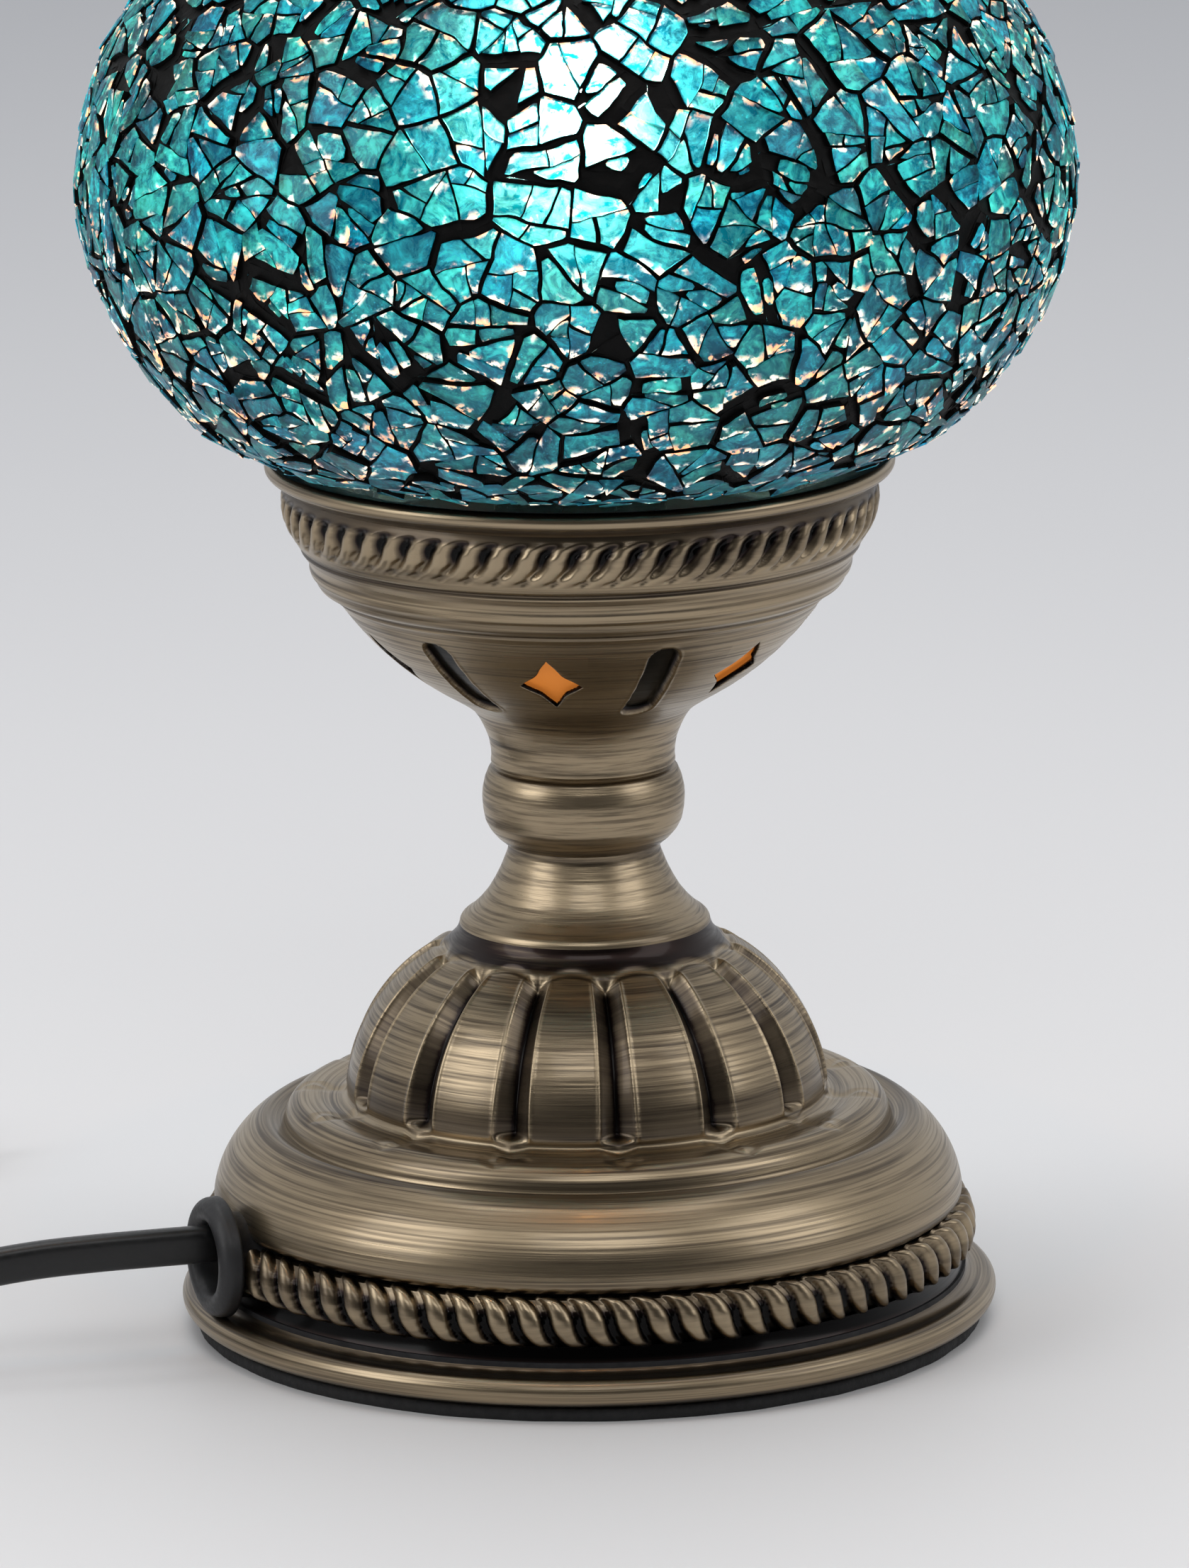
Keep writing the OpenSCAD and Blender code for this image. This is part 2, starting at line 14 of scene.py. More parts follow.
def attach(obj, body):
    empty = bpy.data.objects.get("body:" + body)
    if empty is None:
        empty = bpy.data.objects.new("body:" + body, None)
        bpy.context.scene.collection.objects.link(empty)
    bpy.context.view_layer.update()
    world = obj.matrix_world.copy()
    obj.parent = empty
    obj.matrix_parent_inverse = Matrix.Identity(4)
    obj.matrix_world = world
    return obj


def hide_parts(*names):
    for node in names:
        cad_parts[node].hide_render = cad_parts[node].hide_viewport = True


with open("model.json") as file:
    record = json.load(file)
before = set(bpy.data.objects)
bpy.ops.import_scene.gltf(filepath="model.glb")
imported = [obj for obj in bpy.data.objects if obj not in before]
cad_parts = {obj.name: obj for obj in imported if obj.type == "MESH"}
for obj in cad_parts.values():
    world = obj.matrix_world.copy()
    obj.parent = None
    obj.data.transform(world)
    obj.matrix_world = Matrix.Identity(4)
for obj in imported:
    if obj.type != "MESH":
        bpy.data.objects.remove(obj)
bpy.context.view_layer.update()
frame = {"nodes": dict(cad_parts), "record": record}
NODES = frame["nodes"]
MM = 0.001
TAU = 2 * math.pi
FRONT = -math.pi / 2

# ---------------------------------------------------------------- sizes, as in the CAD source (mm)
GLOBE_R, GLOBE_HALF_H, GLOBE_Z = 81.3, 61.7, 191
CUP_T = 1.6
STAR_COUNT, STAR_TURN = 6, math.radians(-9)
STAR_LEN, STAR_W = 13.6, 9.6
BOWL_C, BOWL_Z, BOWL_R = -4, 152, 53.1
FLUTE_COUNT, FLUTE_TURN = 14, math.radians(7.3)
CORD_W, CORD_T = 6.1, 4.0
CORD_TURN = math.radians(202)
GROMMET_Z = 17
PAD_R, PAD_T = 64.8, 2.2
COIL_AT = (-182, 12)


def arc(c, h, r, a0, a1, n):
    """Points of an arc about (c, h) from a0 to a1 degrees in n steps."""
    angles = np.radians(np.linspace(a0, a1, n + 1))
    return [(c + r * math.cos(a), h + r * math.sin(a)) for a in angles]


GLOBE_OUT = ([(GLOBE_R * math.cos(a), GLOBE_Z + GLOBE_HALF_H * math.sin(a))
              for a in np.radians(np.linspace(90, -40, 66))]
             + [(58.4, 149.3), (54.6, 147.6), (50.8, 146.3), (47.2, 145.5)])
RIM = arc(49.9, 143.7, 1.45, 175, -60, 12) + [(49.4, 141.8), (48.3, 141)]
UPPER_ROPE = [(48.3, 141), (48.6, 139.6), (48.7, 137.4), (48.3, 135.2), (47.6, 133.6),
              (46.9, 132.5)]
CUP_STEPS = [(46.9, 132.5), (46.2, 131.2), (45.5, 130.7), (45.7, 130.1), (44.7, 128.8),
             (44.2, 127.7), (44.3, 127), (44, 126), (43.3, 125.3), (43.2, 124.8), (42.7, 124),
             (41.7, 123.4), (40.4, 122.9), (40.3, 122.3)]
BOWL = [(40.3, 122.3)] + arc(BOWL_C, BOWL_Z, BOWL_R, -34.7, -61, 12)
CUP_NECK = [BOWL[-1], (19.4, 104.1), (18, 103), (17, 101.6), (16.1, 99.8), (15.4, 98),
            (15.05, 96), (15, 94.8), (15.2, 93.8), (14.2, 93.5)]
KNUCKLE = [(14.4, 93.6), (14.7, 93.1), (15.4, 92.9), (16.1, 91.2), (16.5, 89.4), (16.6, 88),
           (16.45, 86), (16.1, 84.2), (15.4, 82.8), (14.2, 81.4), (13.3, 80.7), (12.9, 80.3),
           (12.3, 80.2)]
STEM = [(12.5, 80.3), (12.45, 79.2), (12.9, 78), (13.7, 76), (14.7, 74), (15.9, 72),
        (17.4, 70.2), (19, 68.7), (20, 68.1), (20.5, 67.5), (20.6, 66.8), (20.9, 65.8),
        (21.5, 64.9), (22.2, 64.2)]
DOME = arc(10, 37, 29.6, 64.6, 3.5, 20) + [(40.2, 37.9), (41.3, 37.6), (42.6, 37.7)]
BEAD = arc(45.4, 33.9, 4.5, 112, 4, 9) + [(50.1, 33.6), (50.4, 33.2)]
TORUS = [(49.7, 33.5), (50.8, 33.8)] + arc(45, 20, 16.8, 61, 5, 14) + [(61.5, 20.6), (60.7, 20.1)]
LOWER_ROPE = [(61, 20.7)] + arc(56.7, 15.3, 7.1, 44, -44, 8)
FOOT = ([(61, 11.4), (61.3, 10.2), (61.7, 8.9), (62.4, 7.8), (63.3, 7.3)]
        + arc(64.9, 4.95, 2.3, 108, -62, 12) + [(65.4, 2.6), (64.4, 2.3)])
LEAD = [(-54, -21.8, 19.2), (-62, -25, 19.4), (-70, -27.6, 19.5), (-80, -29.8, 19.3),
        (-90, -31.6, 18.7), (-99, -33.6, 17.6), (-107, -35.8, 15.8), (-114, -38.2, 13.6),
        (-121, -40.8, 11.2), (-128, -43, 9.1), (-134, -44, 8)]
LINK = [(-190, -44, 8), (-199, -42.6, 7.6), (-208, -38, 6.6), (-215, -30.6, 5.4),
        (-220, -21, 4.5), (-222, -10, 4), (-222.2, 2, 3.9), (-222.2, 12, 3.9)]
TAIL = [(-205, 44.9, 10), (-196, 51.2, 9.4), (-187, 57.5, 8.2), (-179, 63.1, 7.2),
        (-172, 68, 6.9)]


# ---------------------------------------------------------------- camera
def make_camera():
    """The photograph's view: a long lens from the front, a little above."""
    pitch, yaw, roll = math.radians(13.073), math.radians(0.057), math.radians(-0.658)
    ahead = Vector((math.sin(yaw) * math.cos(pitch), math.cos(yaw) * math.cos(pitch),
                    -math.sin(pitch)))
    level = ahead.cross(Vector((0, 0, 1))).normalized()
    upright = level.cross(ahead)
    right = level * math.cos(roll) + upright * math.sin(roll)
    up = upright * math.cos(roll) - level * math.sin(roll)
    data = bpy.data.cameras.new("camera")
    data.sensor_width = 36
    data.lens = 262.68
    data.clip_start, data.clip_end = 0.05, 50
    camera = bpy.data.objects.new("camera", data)
    bpy.context.scene.collection.objects.link(camera)
    turn = Matrix((right, up, -ahead)).transposed()
    camera.matrix_world = Matrix.Translation((0, -1.8231, 0.5130)) @ turn.to_4x4()
    bpy.context.scene.camera = camera


# ---------------------------------------------------------------- mesh helpers
def new_object(name, vertices, faces, materials=(), smooth=True, face_slots=None, **attributes):
    """A mesh object from points in metres; attributes are one number per point."""
    mesh = bpy.data.meshes.new(name)
    mesh.from_pydata([tuple(v) for v in vertices], [], [tuple(f) for f in faces])
    for key, values in attributes.items():
        layer = mesh.attributes.new(key, "FLOAT", "POINT")
        layer.data.foreach_set("value", np.asarray(values, np.float32))
    for material in materials:
        mesh.materials.append(material)
    if face_slots is not None:
        mesh.polygons.foreach_set("material_index", face_slots)
    mesh.polygons.foreach_set("use_smooth", [smooth] * len(mesh.polygons))
    mesh.update()
    piece = bpy.data.objects.new(name, mesh)
    bpy.context.scene.collection.objects.link(piece)
    return piece


def resample(profile, step, blur=0.0):
    """The profile at even steps of its length, its corners rounded over blur steps."""
    p = np.array(profile, float)
    s = np.concatenate([[0], np.cumsum(np.linalg.norm(np.diff(p, axis=0), axis=1))])
    n = max(4, int(round(s[-1] / step)))
    t = np.linspace(0, s[-1], n + 1)
    q = np.stack([np.interp(t, s, p[:, 0]), np.interp(t, s, p[:, 1])], axis=1)
    if blur:
        reach = int(3 * blur) + 1
        weights = np.exp(-0.5 * (np.arange(-reach, reach + 1) / blur) ** 2)
        weights /= weights.sum()
        padded = np.concatenate([2 * q[0] - q[reach:0:-1], q, 2 * q[-1] - q[-2:-reach - 2:-1]])
        q = np.stack([np.convolve(padded[:, k], weights, "valid") for k in (0, 1)], axis=1)
    return q


def outward(profile):
    """Unit normals of a profile that runs downwards, away from the axis."""
    d = np.gradient(profile, axis=0)
    n = np.stack([-d[:, 1], d[:, 0]], axis=1)
    return n / np.linalg.norm(n, axis=1, keepdims=True)


def grid_faces(rows, columns, skip=None):
    """Quads of a grid that closes round its columns; skip is a set of (row, column) left open."""
    faces = []
    for i in range(rows - 1):
        for j in range(columns):
            if skip and (i, j) in skip:
                continue
            k = (j + 1) % columns
            faces.append((i * columns + j, (i + 1) * columns + j,
                          (i + 1) * columns + k, i * columns + k))
    return faces


def lathe(name, profile, columns, materials, shape=None, skip=None, brushing=1.0):
    """A turned surface. shape(profile, normals, angles) gives (height, darkening) arrays, rows x columns;
    the darkening is patina and painted shade, its negative values painted highlights.
    """
    angles = np.arange(columns) * TAU / columns
    normals = outward(profile)
    height = np.zeros((len(profile), columns))
    dirt = np.zeros_like(height)
    if shape:
        height, dirt = shape(profile, normals, angles)
    r = profile[:, 0:1] + normals[:, 0:1] * height
    z = profile[:, 1:2] + normals[:, 1:2] * height
    points = np.stack([r * np.cos(angles), r * np.sin(angles), z], axis=2).reshape(-1, 3) * MM
    run = np.concatenate([[0], np.cumsum(np.linalg.norm(np.diff(profile, axis=0), axis=1))])
    run = np.repeat((run - profile[0, 1]) * MM * brushing, columns)
    return new_object(name, points, grid_faces(len(profile), columns, skip), materials,
                      dirt=dirt.ravel(), run=run)


def spline(points, step):
    """Catmull-Rom line through points, at about even steps."""
    p = np.array(points, float)
    p = np.vstack([2 * p[0] - p[1], p, 2 * p[-1] - p[-2]])
    line = []
    for i in range(1, len(p) - 2):
        n = max(1, int(round(np.linalg.norm(p[i + 1] - p[i]) / step)))
        for t in np.arange(n) / n:
            a, b, c, d = p[i - 1:i + 3]
            line.append(0.5 * (2 * b + (c - a) * t + (2 * a - 5 * b + 4 * c - d) * t * t
                               + (3 * b - a - 3 * c + d) * t ** 3))
    line.append(p[-2])
    return np.array(line)


def smoothstep(a, b, x):
    t = np.clip((x - a) / (b - a), 0, 1)
    return t * t * (3 - 2 * t)


def place(piece, body, slot, *nodes):
    """The piece rides on a body and stands for CAD nodes, which it hides; slot is not used."""
    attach(piece, body)
    if nodes:
        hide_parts(*nodes)
    return piece


# ---------------------------------------------------------------- shader helpers
def colour(r, g, b):
    """A screen colour, 0-255, as the shader's linear one."""
    return tuple(((c / 255 + 0.055) / 1.055) ** 2.4 if c > 10 else c / 3295 for c in (r, g, b)) + (1,)


class Shader:
    """A material with one Principled shader, and short names for the nodes that feed it."""

    def __init__(self, name, **values):
        self.material = bpy.data.materials.new(name)
        self.material.use_nodes = True
        self.tree = self.material.node_tree
        self.surface = self.tree.nodes["Principled BSDF"]
        self.put(self.surface, values)

    def put(self, node, values):
        for key, value in values.items():
            socket = node.inputs[key.replace("_", " ")] if isinstance(key, str) else node.inputs[key]
            if isinstance(value, bpy.types.NodeSocket):
                self.tree.links.new(value, socket)
            else:
                socket.default_value = value

    def node(self, kind, values=None, **settings):
        node = self.tree.nodes.new(kind)
        for key, value in settings.items():
            setattr(node, key, value)
        self.put(node, values or {})
        return node

    def position(self):
        return self.node("ShaderNodeTexCoord").outputs["Object"]

    def math(self, operation, a, b=0.0, clamp=False):
        return self.node("ShaderNodeMath", {0: a, 1: b}, operation=operation,
                         use_clamp=clamp).outputs[0]

    def noise(self, scale, detail=4, rough=0.55, own=None, swirl=0.0):
        """Cloudy noise; own, a number that differs from piece to piece, gives each its own clouds."""
        values = {"Scale": scale, "Detail": detail, "Roughness": rough, "Distortion": swirl,
                  "Vector": self.position()}
        if own is not None:
            values["W"] = own
        return self.node("ShaderNodeTexNoise", values,
                         noise_dimensions="3D" if own is None else "4D").outputs["Fac"]

    def attribute(self, name):
        return self.node("ShaderNodeAttribute", attribute_name=name).outputs["Fac"]

    def mix(self, amount, a, b):
        node = self.node("ShaderNodeMix", data_type="RGBA")
        for socket, value in ((node.inputs[0], amount), (node.inputs[6], a), (node.inputs[7], b)):
            if isinstance(value, bpy.types.NodeSocket):
                self.tree.links.new(value, socket)
            else:
                socket.default_value = value
        return node.outputs[2]

    def ramp(self, amount, low, high, a=0.0, b=1.0):
        """amount from low..high mapped to a..b, clamped."""
        values = {"Value": amount, "From_Min": low, "From_Max": high, "To_Min": a, "To_Max": b}
        return self.node("ShaderNodeMapRange", values, clamp=True).outputs[0]

    def bump(self, height, depth, strength=1.0):
        self.put(self.surface, {"Normal": self.node(
            "ShaderNodeBump", {"Height": height, "Distance": depth, "Strength": strength}).outputs[0]})


def turned_grain(shader, fineness, length=1.4, detail=5):
    """Noise drawn out round the lamp's axis, as brushing on a lathe leaves it."""
    parts = shader.node("ShaderNodeSeparateXYZ", {"Vector": shader.position()}).outputs
    flat = shader.node("ShaderNodeCombineXYZ", {"X": parts[0], "Y": parts[1]}).outputs[0]
    around = shader.node("ShaderNodeVectorMath", {0: flat}, operation="NORMALIZE").outputs[0]
    around = shader.node("ShaderNodeVectorMath", {0: around, "Scale": length},
                         operation="SCALE").outputs[0]
    xy = shader.node("ShaderNodeSeparateXYZ", {"Vector": around}).outputs
    run = shader.math("MULTIPLY", shader.attribute("run"), fineness)
    vector = shader.node("ShaderNodeCombineXYZ", {"X": xy[0], "Y": xy[1], "Z": run}).outputs[0]
    values = {"Vector": vector, "Scale": 1.0, "Detail": detail, "Roughness": 0.6}
    return shader.node("ShaderNodeTexNoise", values).outputs["Fac"]


def brass_material(name="antique_brass", light=(155, 139, 114), dark=(40, 31, 29), base_dirt=0.0):
    s = Shader(name, Metallic=1.0, Anisotropic=0.55, Coat_Weight=0.2, Coat_Roughness=0.12,
               Coat_IOR=1.5)
    grain = turned_grain(s, 1700, 1.1)
    bands = turned_grain(s, 240, 0.8, 2)
    cloud = s.noise(38, 3)
    # The per-point attribute darkens the brass with patina in hollows and with painted shade in creases,
    # gaps and under steps, and lightens edges and lips with painted highlights; the extra offset darkens
    # whole copies of the brass as painted shade.
    dirt = s.math("ADD", s.attribute("dirt"), base_dirt)
    # Near black where the attribute passes 1: black patina in the bowl's slots, painted shadow in the
    # rope's gaps.
    black = s.ramp(s.attribute("dirt"), 1.0, 1.2)
    dirt = s.math("ADD", dirt, s.ramp(bands, 0.42, 0.70, -0.04, 0.16))
    dirt = s.math("ADD", dirt, s.ramp(cloud, 0.5, 0.75, 0.0, 0.14))
    brushed = s.ramp(s.attribute("dirt"), 0.3, 0.6, 1.0, 0.2)
    scratch = s.math("MULTIPLY", s.ramp(grain, 0.36, 0.64, -0.38, 0.5), brushed)
    dirt = s.math("ADD", dirt, scratch, clamp=True)
    tone = s.mix(dirt, colour(*light), colour(*dark))
    s.put(s.surface, {"Base_Color": s.mix(black, tone, colour(9, 8, 8)),
                      "Roughness": s.ramp(grain, 0.3, 0.7, 0.26, 0.42),
                      "Tangent": s.node("ShaderNodeTangent", direction_type="RADIAL",
                                        axis="Z").outputs[0]})
    s.bump(s.math("MULTIPLY", grain, brushed), 0.0001, 0.5)
    return s.material


def plastic(name, tone, rough, grain=900, depth=0.00004, **extra):
    """Moulded plastic or rubber: fine grain, slightly uneven tone and gloss."""
    s = Shader(name, **extra)
    fine = s.noise(grain, 3)
    cloud = s.noise(60, 2)
    lighter = tuple(min(255, c * 1.25 + 3) for c in tone)
    s.put(s.surface, {"Base_Color": s.mix(cloud, colour(*tone), colour(*lighter)),
                      "Roughness": s.ramp(fine, 0.3, 0.7, rough - 0.07, rough + 0.07)})
    s.bump(fine, depth, 0.6)
    return s.material


def metal(name, tone, rough, grain=300):
    s = Shader(name, Metallic=1.0)
    fine = s.noise(grain, 5)
    darker = tuple(c * 0.72 for c in tone)
    s.put(s.surface, {"Base_Color": s.mix(fine, colour(*tone), colour(*darker)),
                      "Roughness": s.ramp(fine, 0.3, 0.7, rough - 0.08, rough + 0.1)})
    s.bump(fine, 0.00002, 0.4)
    return s.material


# ---------------------------------------------------------------- cord
def coil_route():
    """Four turns inward on the table, then three and a bit outward on top of them, clockwise."""
    rings = (40.15, 36.05, 31.95, 27.85)
    low, high = 3.85, 9.95
    line = []
    for travel in range(0, 1440 + 1136, 5):
        if travel <= 1440:
            turn, part = divmod(travel, 360)
            turn = min(turn, 3)
            r = rings[turn]
            if part > 300 and turn < 3:
                r += (rings[turn + 1] - r) * smoothstep(300, 360, part)
            z = low + (high - low) * smoothstep(1320, 1380, travel)
        else:
            r, z = rings[3], high
            for k, start in enumerate((1620, 1980, 2340)):
                r += (rings[2 - k] - rings[3 - k]) * smoothstep(start, start + 60, travel)
        a = math.pi - math.radians(travel)
        line.append((COIL_AT[0] + r * math.cos(a), COIL_AT[1] + r * math.sin(a), float(z)))
    return line


def cord_mesh(name, route, material):
    """Flat two-core cord with its width upright, swept along the route (mm)."""
    sides = 20
    section = []
    for k in range(sides):
        a = TAU * k / sides
        c, s = math.cos(a), math.sin(a)
        flat = math.copysign(abs(c) ** 0.55, c) * CORD_T / 2
        wide = math.copysign(abs(s) ** 0.72, s) * CORD_W / 2
        section.append((flat * (1 - 0.05 * math.exp(-(wide / 0.9) ** 2)), wide))
    along = np.gradient(route, axis=0)
    along /= np.linalg.norm(along, axis=1, keepdims=True)
    across = np.cross(along, (0, 0, 1))
    across /= np.linalg.norm(across, axis=1, keepdims=True)
    up = np.cross(across, along)
    rings = [route + across * f + up * w for f, w in section]
    points = np.stack(rings, axis=1).reshape(-1, 3) * MM
    faces = []
    for i in range(len(route) - 1):
        for k in range(sides):
            m = (k + 1) % sides
            faces.append((i * sides + k, i * sides + m, (i + 1) * sides + m, (i + 1) * sides + k))
    last = (len(route) - 1) * sides
    faces.append(tuple(range(sides))[::-1])
    faces.append(tuple(range(last, last + sides)))
    return new_object(name, points, faces, [material])


def length_of(route):
    return float(np.linalg.norm(np.diff(route, axis=0), axis=1).sum()) * MM


def make_cords(material):
    lead_line = spline(LEAD, 1.6)
    lead = place(cord_mesh("lead_cord", lead_line, material), "stand", "black_cord", "cord_lead")
    long_line = spline(LINK[:-1] + coil_route() + TAIL[1:], 3.0)
    long = place(cord_mesh("long_cord", long_line, material), "stand", "black_cord",
                 "cord_link", "cord_coil", "cord_tail")
    return lead, lead_line, long, long_line


# ---------------------------------------------------------------- stand
def groove_phase(angles, count, turn=0.0):
    """Signed distance round the axis, in radians, to the nearest of count evenly spaced lines."""
    pitch = TAU / count
    return (angles - FRONT - turn + pitch / 2) % pitch - pitch / 2


def dome_shape(profile, normals, angles):
    """Fourteen V grooves between flat panels with arched tops. The darkening is painted shade, partly
    patina, on the groove walls and valleys, painted shade on the panels' lower ends and the shoulder above
    them, and painted highlights on the groove edges and the lips.
    """
    r, z = profile[:, 0:1], profile[:, 1:2]
    x = np.abs(groove_phase(angles, FLUTE_COUNT, FLUTE_TURN)[None, :]) * r
    half = 2.2 + 0.04 * (64 - z)
    u = np.clip(x / half, 0, 1)
    across = x / (r * math.pi / FLUTE_COUNT)
    crown = 61.3 + 1.3 * (1 - (1 - across) ** 2)
    inside = smoothstep(0, 2.2, 63.6 - z) * smoothstep(0, 1.6, z - 38.9)
    height = -2.4 * (1 - u) * inside
    lip = np.exp(-((z - crown - 0.9) / 0.42) ** 2)
    foot_lip = np.exp(-((z - 38.6 + 0.8 * (1 - u)) / 0.45) ** 2)
    rim = np.exp(-((x - half - 0.1) / 0.35) ** 2) * inside
    height = height - 0.4 * lip - 0.35 * foot_lip + 0.2 * rim
    panel = smoothstep(0.95, 1.1, x / half)
    # Painted shade, partly patina, on the groove walls and along the valleys; painted shade on the panels'
    # lower ends and a painted highlight along the groove edges.
    dirt = 0.46 * smoothstep(1.0, 0.9, u) * inside + 0.5 * inside * np.exp(-(x / 0.5) ** 2)
    dirt = dirt + 0.4 * smoothstep(48, 39, z) * inside * panel - 0.5 * rim
    # Painted highlights on the lips, painted shade on the shoulder above the panels.
    return height, 0.24 + dirt - 0.5 * lip - 0.35 * foot_lip + 0.75 * smoothstep(62.8, 64, z)


def rope_phase(profile, angles, count, lean):
    """Place across each rib, -0.5 to 0.5, and along it, 0 at the top to 1 at the bottom."""
    s = np.linspace(0, 1, len(profile))[:, None]
    bend = s + 0.10 * np.sin(TAU * s)
    u = ((angles[None, :] - FRONT) * count / TAU - lean * bend) % 1 - 0.5
    return u, np.broadcast_to(s, u.shape)


def lower_rope_shape(profile, normals, angles):
    u, s = rope_phase(profile, angles, 76, 1.3)
    half = 0.25 + 0.11 * np.sin(math.pi * s)
    rib = np.sqrt(np.clip(1 - (u / half) ** 2, 0, 1))
    ends = smoothstep(0.0, 0.2, s) * smoothstep(1.0, 0.8, s)
    height = -1.6 + 1.75 * rib * (0.3 + 0.7 * ends)
    # Painted shadow in the gaps between ribs, down to black in their lower part, and painted shade at the
    # rope's top and bottom ends.
    dirt = 0.12 + 1.25 * (1 - smoothstep(0.0, 0.7, rib)) * smoothstep(0.05, 0.5, s)
    return height, dirt + 0.5 * smoothstep(0.3, 0.0, s) + 0.7 * smoothstep(0.66, 0.95, s)


def upper_rope_shape(profile, normals, angles):
    u, s = rope_phase(profile, angles, 62, -1.6)
    hollow = np.exp(-(u / (0.33 - 0.17 * s)) ** 2)
    fade = smoothstep(0.1, 0.34, s) * smoothstep(0.98, 0.7, s)
    foot = np.exp(-(u / 0.2) ** 2 - ((s - 0.93) / 0.05) ** 2)
    height = -1.4 * hollow * fade - 0.5 * foot + 0.12 - 0.45 * smoothstep(0.26, 0.06, s)
    # Painted shadow in the hollows and at their feet, near black in their upper part, slightly lighter
    # elsewhere, and a band of painted shade along the top under the rim.
    dirt = 1.3 * hollow * fade * smoothstep(0.9, 0.3, s) + 0.5 * hollow * fade + 0.8 * foot
    return height, dirt - 0.12 + 0.85 * smoothstep(0.27, 0.16, s)


def plain_dirt(*zones):
    """Shape function that only darkens, in creases, steps and hollows: patina partly, painted shade
    partly; zones are (height, half width, amount) in mm.
    """
    def shape(profile, normals, angles):
        z = profile[:, 1:2] + 0 * angles[None, :]
        dirt = np.zeros_like(z)
        for at, half, amount in zones:
            dirt += amount * np.exp(-((z - at) / half) ** 2)
        return np.zeros_like(z), dirt
    return shape


def slot_shape(profile, normals, angles):
    """Six blind troughs between the stars, along the bowl, black with patina inside, with a painted
    highlight round their edges; a faint band round the bowl at 119 mm is darker.
    """
    r, z = profile[:, 0:1], profile[:, 1:2]
    x = groove_phase(angles, STAR_COUNT, STAR_TURN + math.pi / STAR_COUNT)[None, :] * r
    along = np.degrees(np.arctan2(z - BOWL_Z, r - BOWL_C)) + 0 * x
    reach = (np.abs(along + 48.5) - 8.6) * math.radians(BOWL_R)
    edge = np.hypot(x, np.clip(reach, 0, None)) - 2.8
    inside = 1 - smoothstep(-0.6, 0.0, edge)
    rim = np.exp(-(edge / 0.28) ** 2)
    bands = 0.12 * np.exp(-((z - 119) / 2.5) ** 2)
    height = -1.15 * inside + 0.1 * rim
    return height, 1.5 * inside - 0.25 * rim * (1 - inside) + bands


def star_outline(n):
    """Four-pointed star with hollow sides, as (along the meridian, round the axis) in mm."""
    points = []
    for k in range(n):
        a = TAU * k / n
        q = (a % (math.pi / 2)) / (math.pi / 2)
        s = 1 - 0.42 * math.sin(math.pi * q) ** 0.75
        points.append((STAR_LEN / 1.85 * s * math.cos(a), STAR_W / 1.85 * s * math.sin(a)))
    return np.array(points)


def make_bowl(brass, hole_wall_brass_shaded):
    """The bowl with its pierced stars. Each star has its own patch of mesh, cut through the wall."""
    columns = 720
    profile = resample(BOWL, 0.36, 1.0)
    s = np.concatenate([[0], np.cumsum(np.linalg.norm(np.diff(profile, axis=0), axis=1))])
    angles = np.arange(columns) * TAU / columns
    centre_row = int(np.argmin(np.abs(profile[:, 1] - 112.9)))
    half_rows, half_columns = 23, 21
    star_columns = [int(round((FRONT + STAR_TURN + TAU / STAR_COUNT * k) / TAU * columns)) % columns
                    for k in range(STAR_COUNT)]
    skip = {(i, (c + j) % columns) for c in star_columns
            for i in range(centre_row - half_rows, centre_row + half_rows)
            for j in range(-half_columns, half_columns)}
    bowl = lathe("cup_bowl", profile, columns, [brass], slot_shape, skip)
    points, faces, dirt, slots, runs = [], [], [], [], []
    r_mid = profile[centre_row, 0]

    def surface(along, around, depth=0.0):
        t = s[centre_row] + along
        r, z = np.interp(t, s, profile[:, 0]), np.interp(t, s, profile[:, 1])
        normal = np.array([r - BOWL_C, z - BOWL_Z])
        normal /= np.linalg.norm(normal)
        r, z = r - depth * normal[0], z - depth * normal[1]
        runs.append((t - profile[0, 1]) * MM)
        return r * math.cos(around), r * math.sin(around), z

    border = ([(-half_rows, j) for j in range(-half_columns, half_columns)]
              + [(i, half_columns) for i in range(-half_rows, half_rows)]
              + [(half_rows, j) for j in range(half_columns, -half_columns, -1)]
              + [(i, -half_columns) for i in range(half_rows, -half_rows, -1)])
    n = len(border)
    row_step = s[1] - s[0]
    column_step = TAU / columns
    outer = np.array([(i * row_step, j * column_step * r_mid) for i, j in border])
    a = np.arctan2(outer[:, 1] / STAR_W, outer[:, 0] / STAR_LEN)
    fine = star_outline(1440)
    fine_a = np.unwrap(np.arctan2(fine[:, 1] / STAR_W, fine[:, 0] / STAR_LEN))
    inner = np.stack([np.interp(a % TAU, fine_a, fine[:, k]) for k in (0, 1)], axis=1)
    rng = random.Random(5)
    for c in star_columns:
        base = len(points)
        middle = c * column_step
        # Towards the hole the rings darken and the cut walls take the darker brass: painted shade on the
        # holes' walls.
        for ring, (share, depth, dark) in enumerate(((0, 0, 0), (0.45, 0, 0), (0.8, 0, 0.0),
                                                     (0.95, 0.02, 0.12), (1, 0.12, 0.6),
                                                     (1, 0.4, 1), (1, 0.75, 1))):
            for k in range(n):
                p = outer[k] * (1 - share) + inner[k] * share
                if ring >= 5:
                    p = p * (1 - rng.uniform(0.0, 0.05))
                points.append(surface(p[0], middle + p[1] / r_mid, depth))
                dirt.append(dark)
        for ring in range(6):
            for k in range(n):
                m = (k + 1) % n
                faces.append((base + ring * n + k, base + (ring + 1) * n + k,
                              base + (ring + 1) * n + m, base + ring * n + m))
                slots.append(0 if ring < 4 else 1)
    stars = new_object("cup_stars", np.array(points) * MM, faces, [brass, hole_wall_brass_shaded], True, slots,
                       dirt=dirt, run=runs)
    return bowl, stars


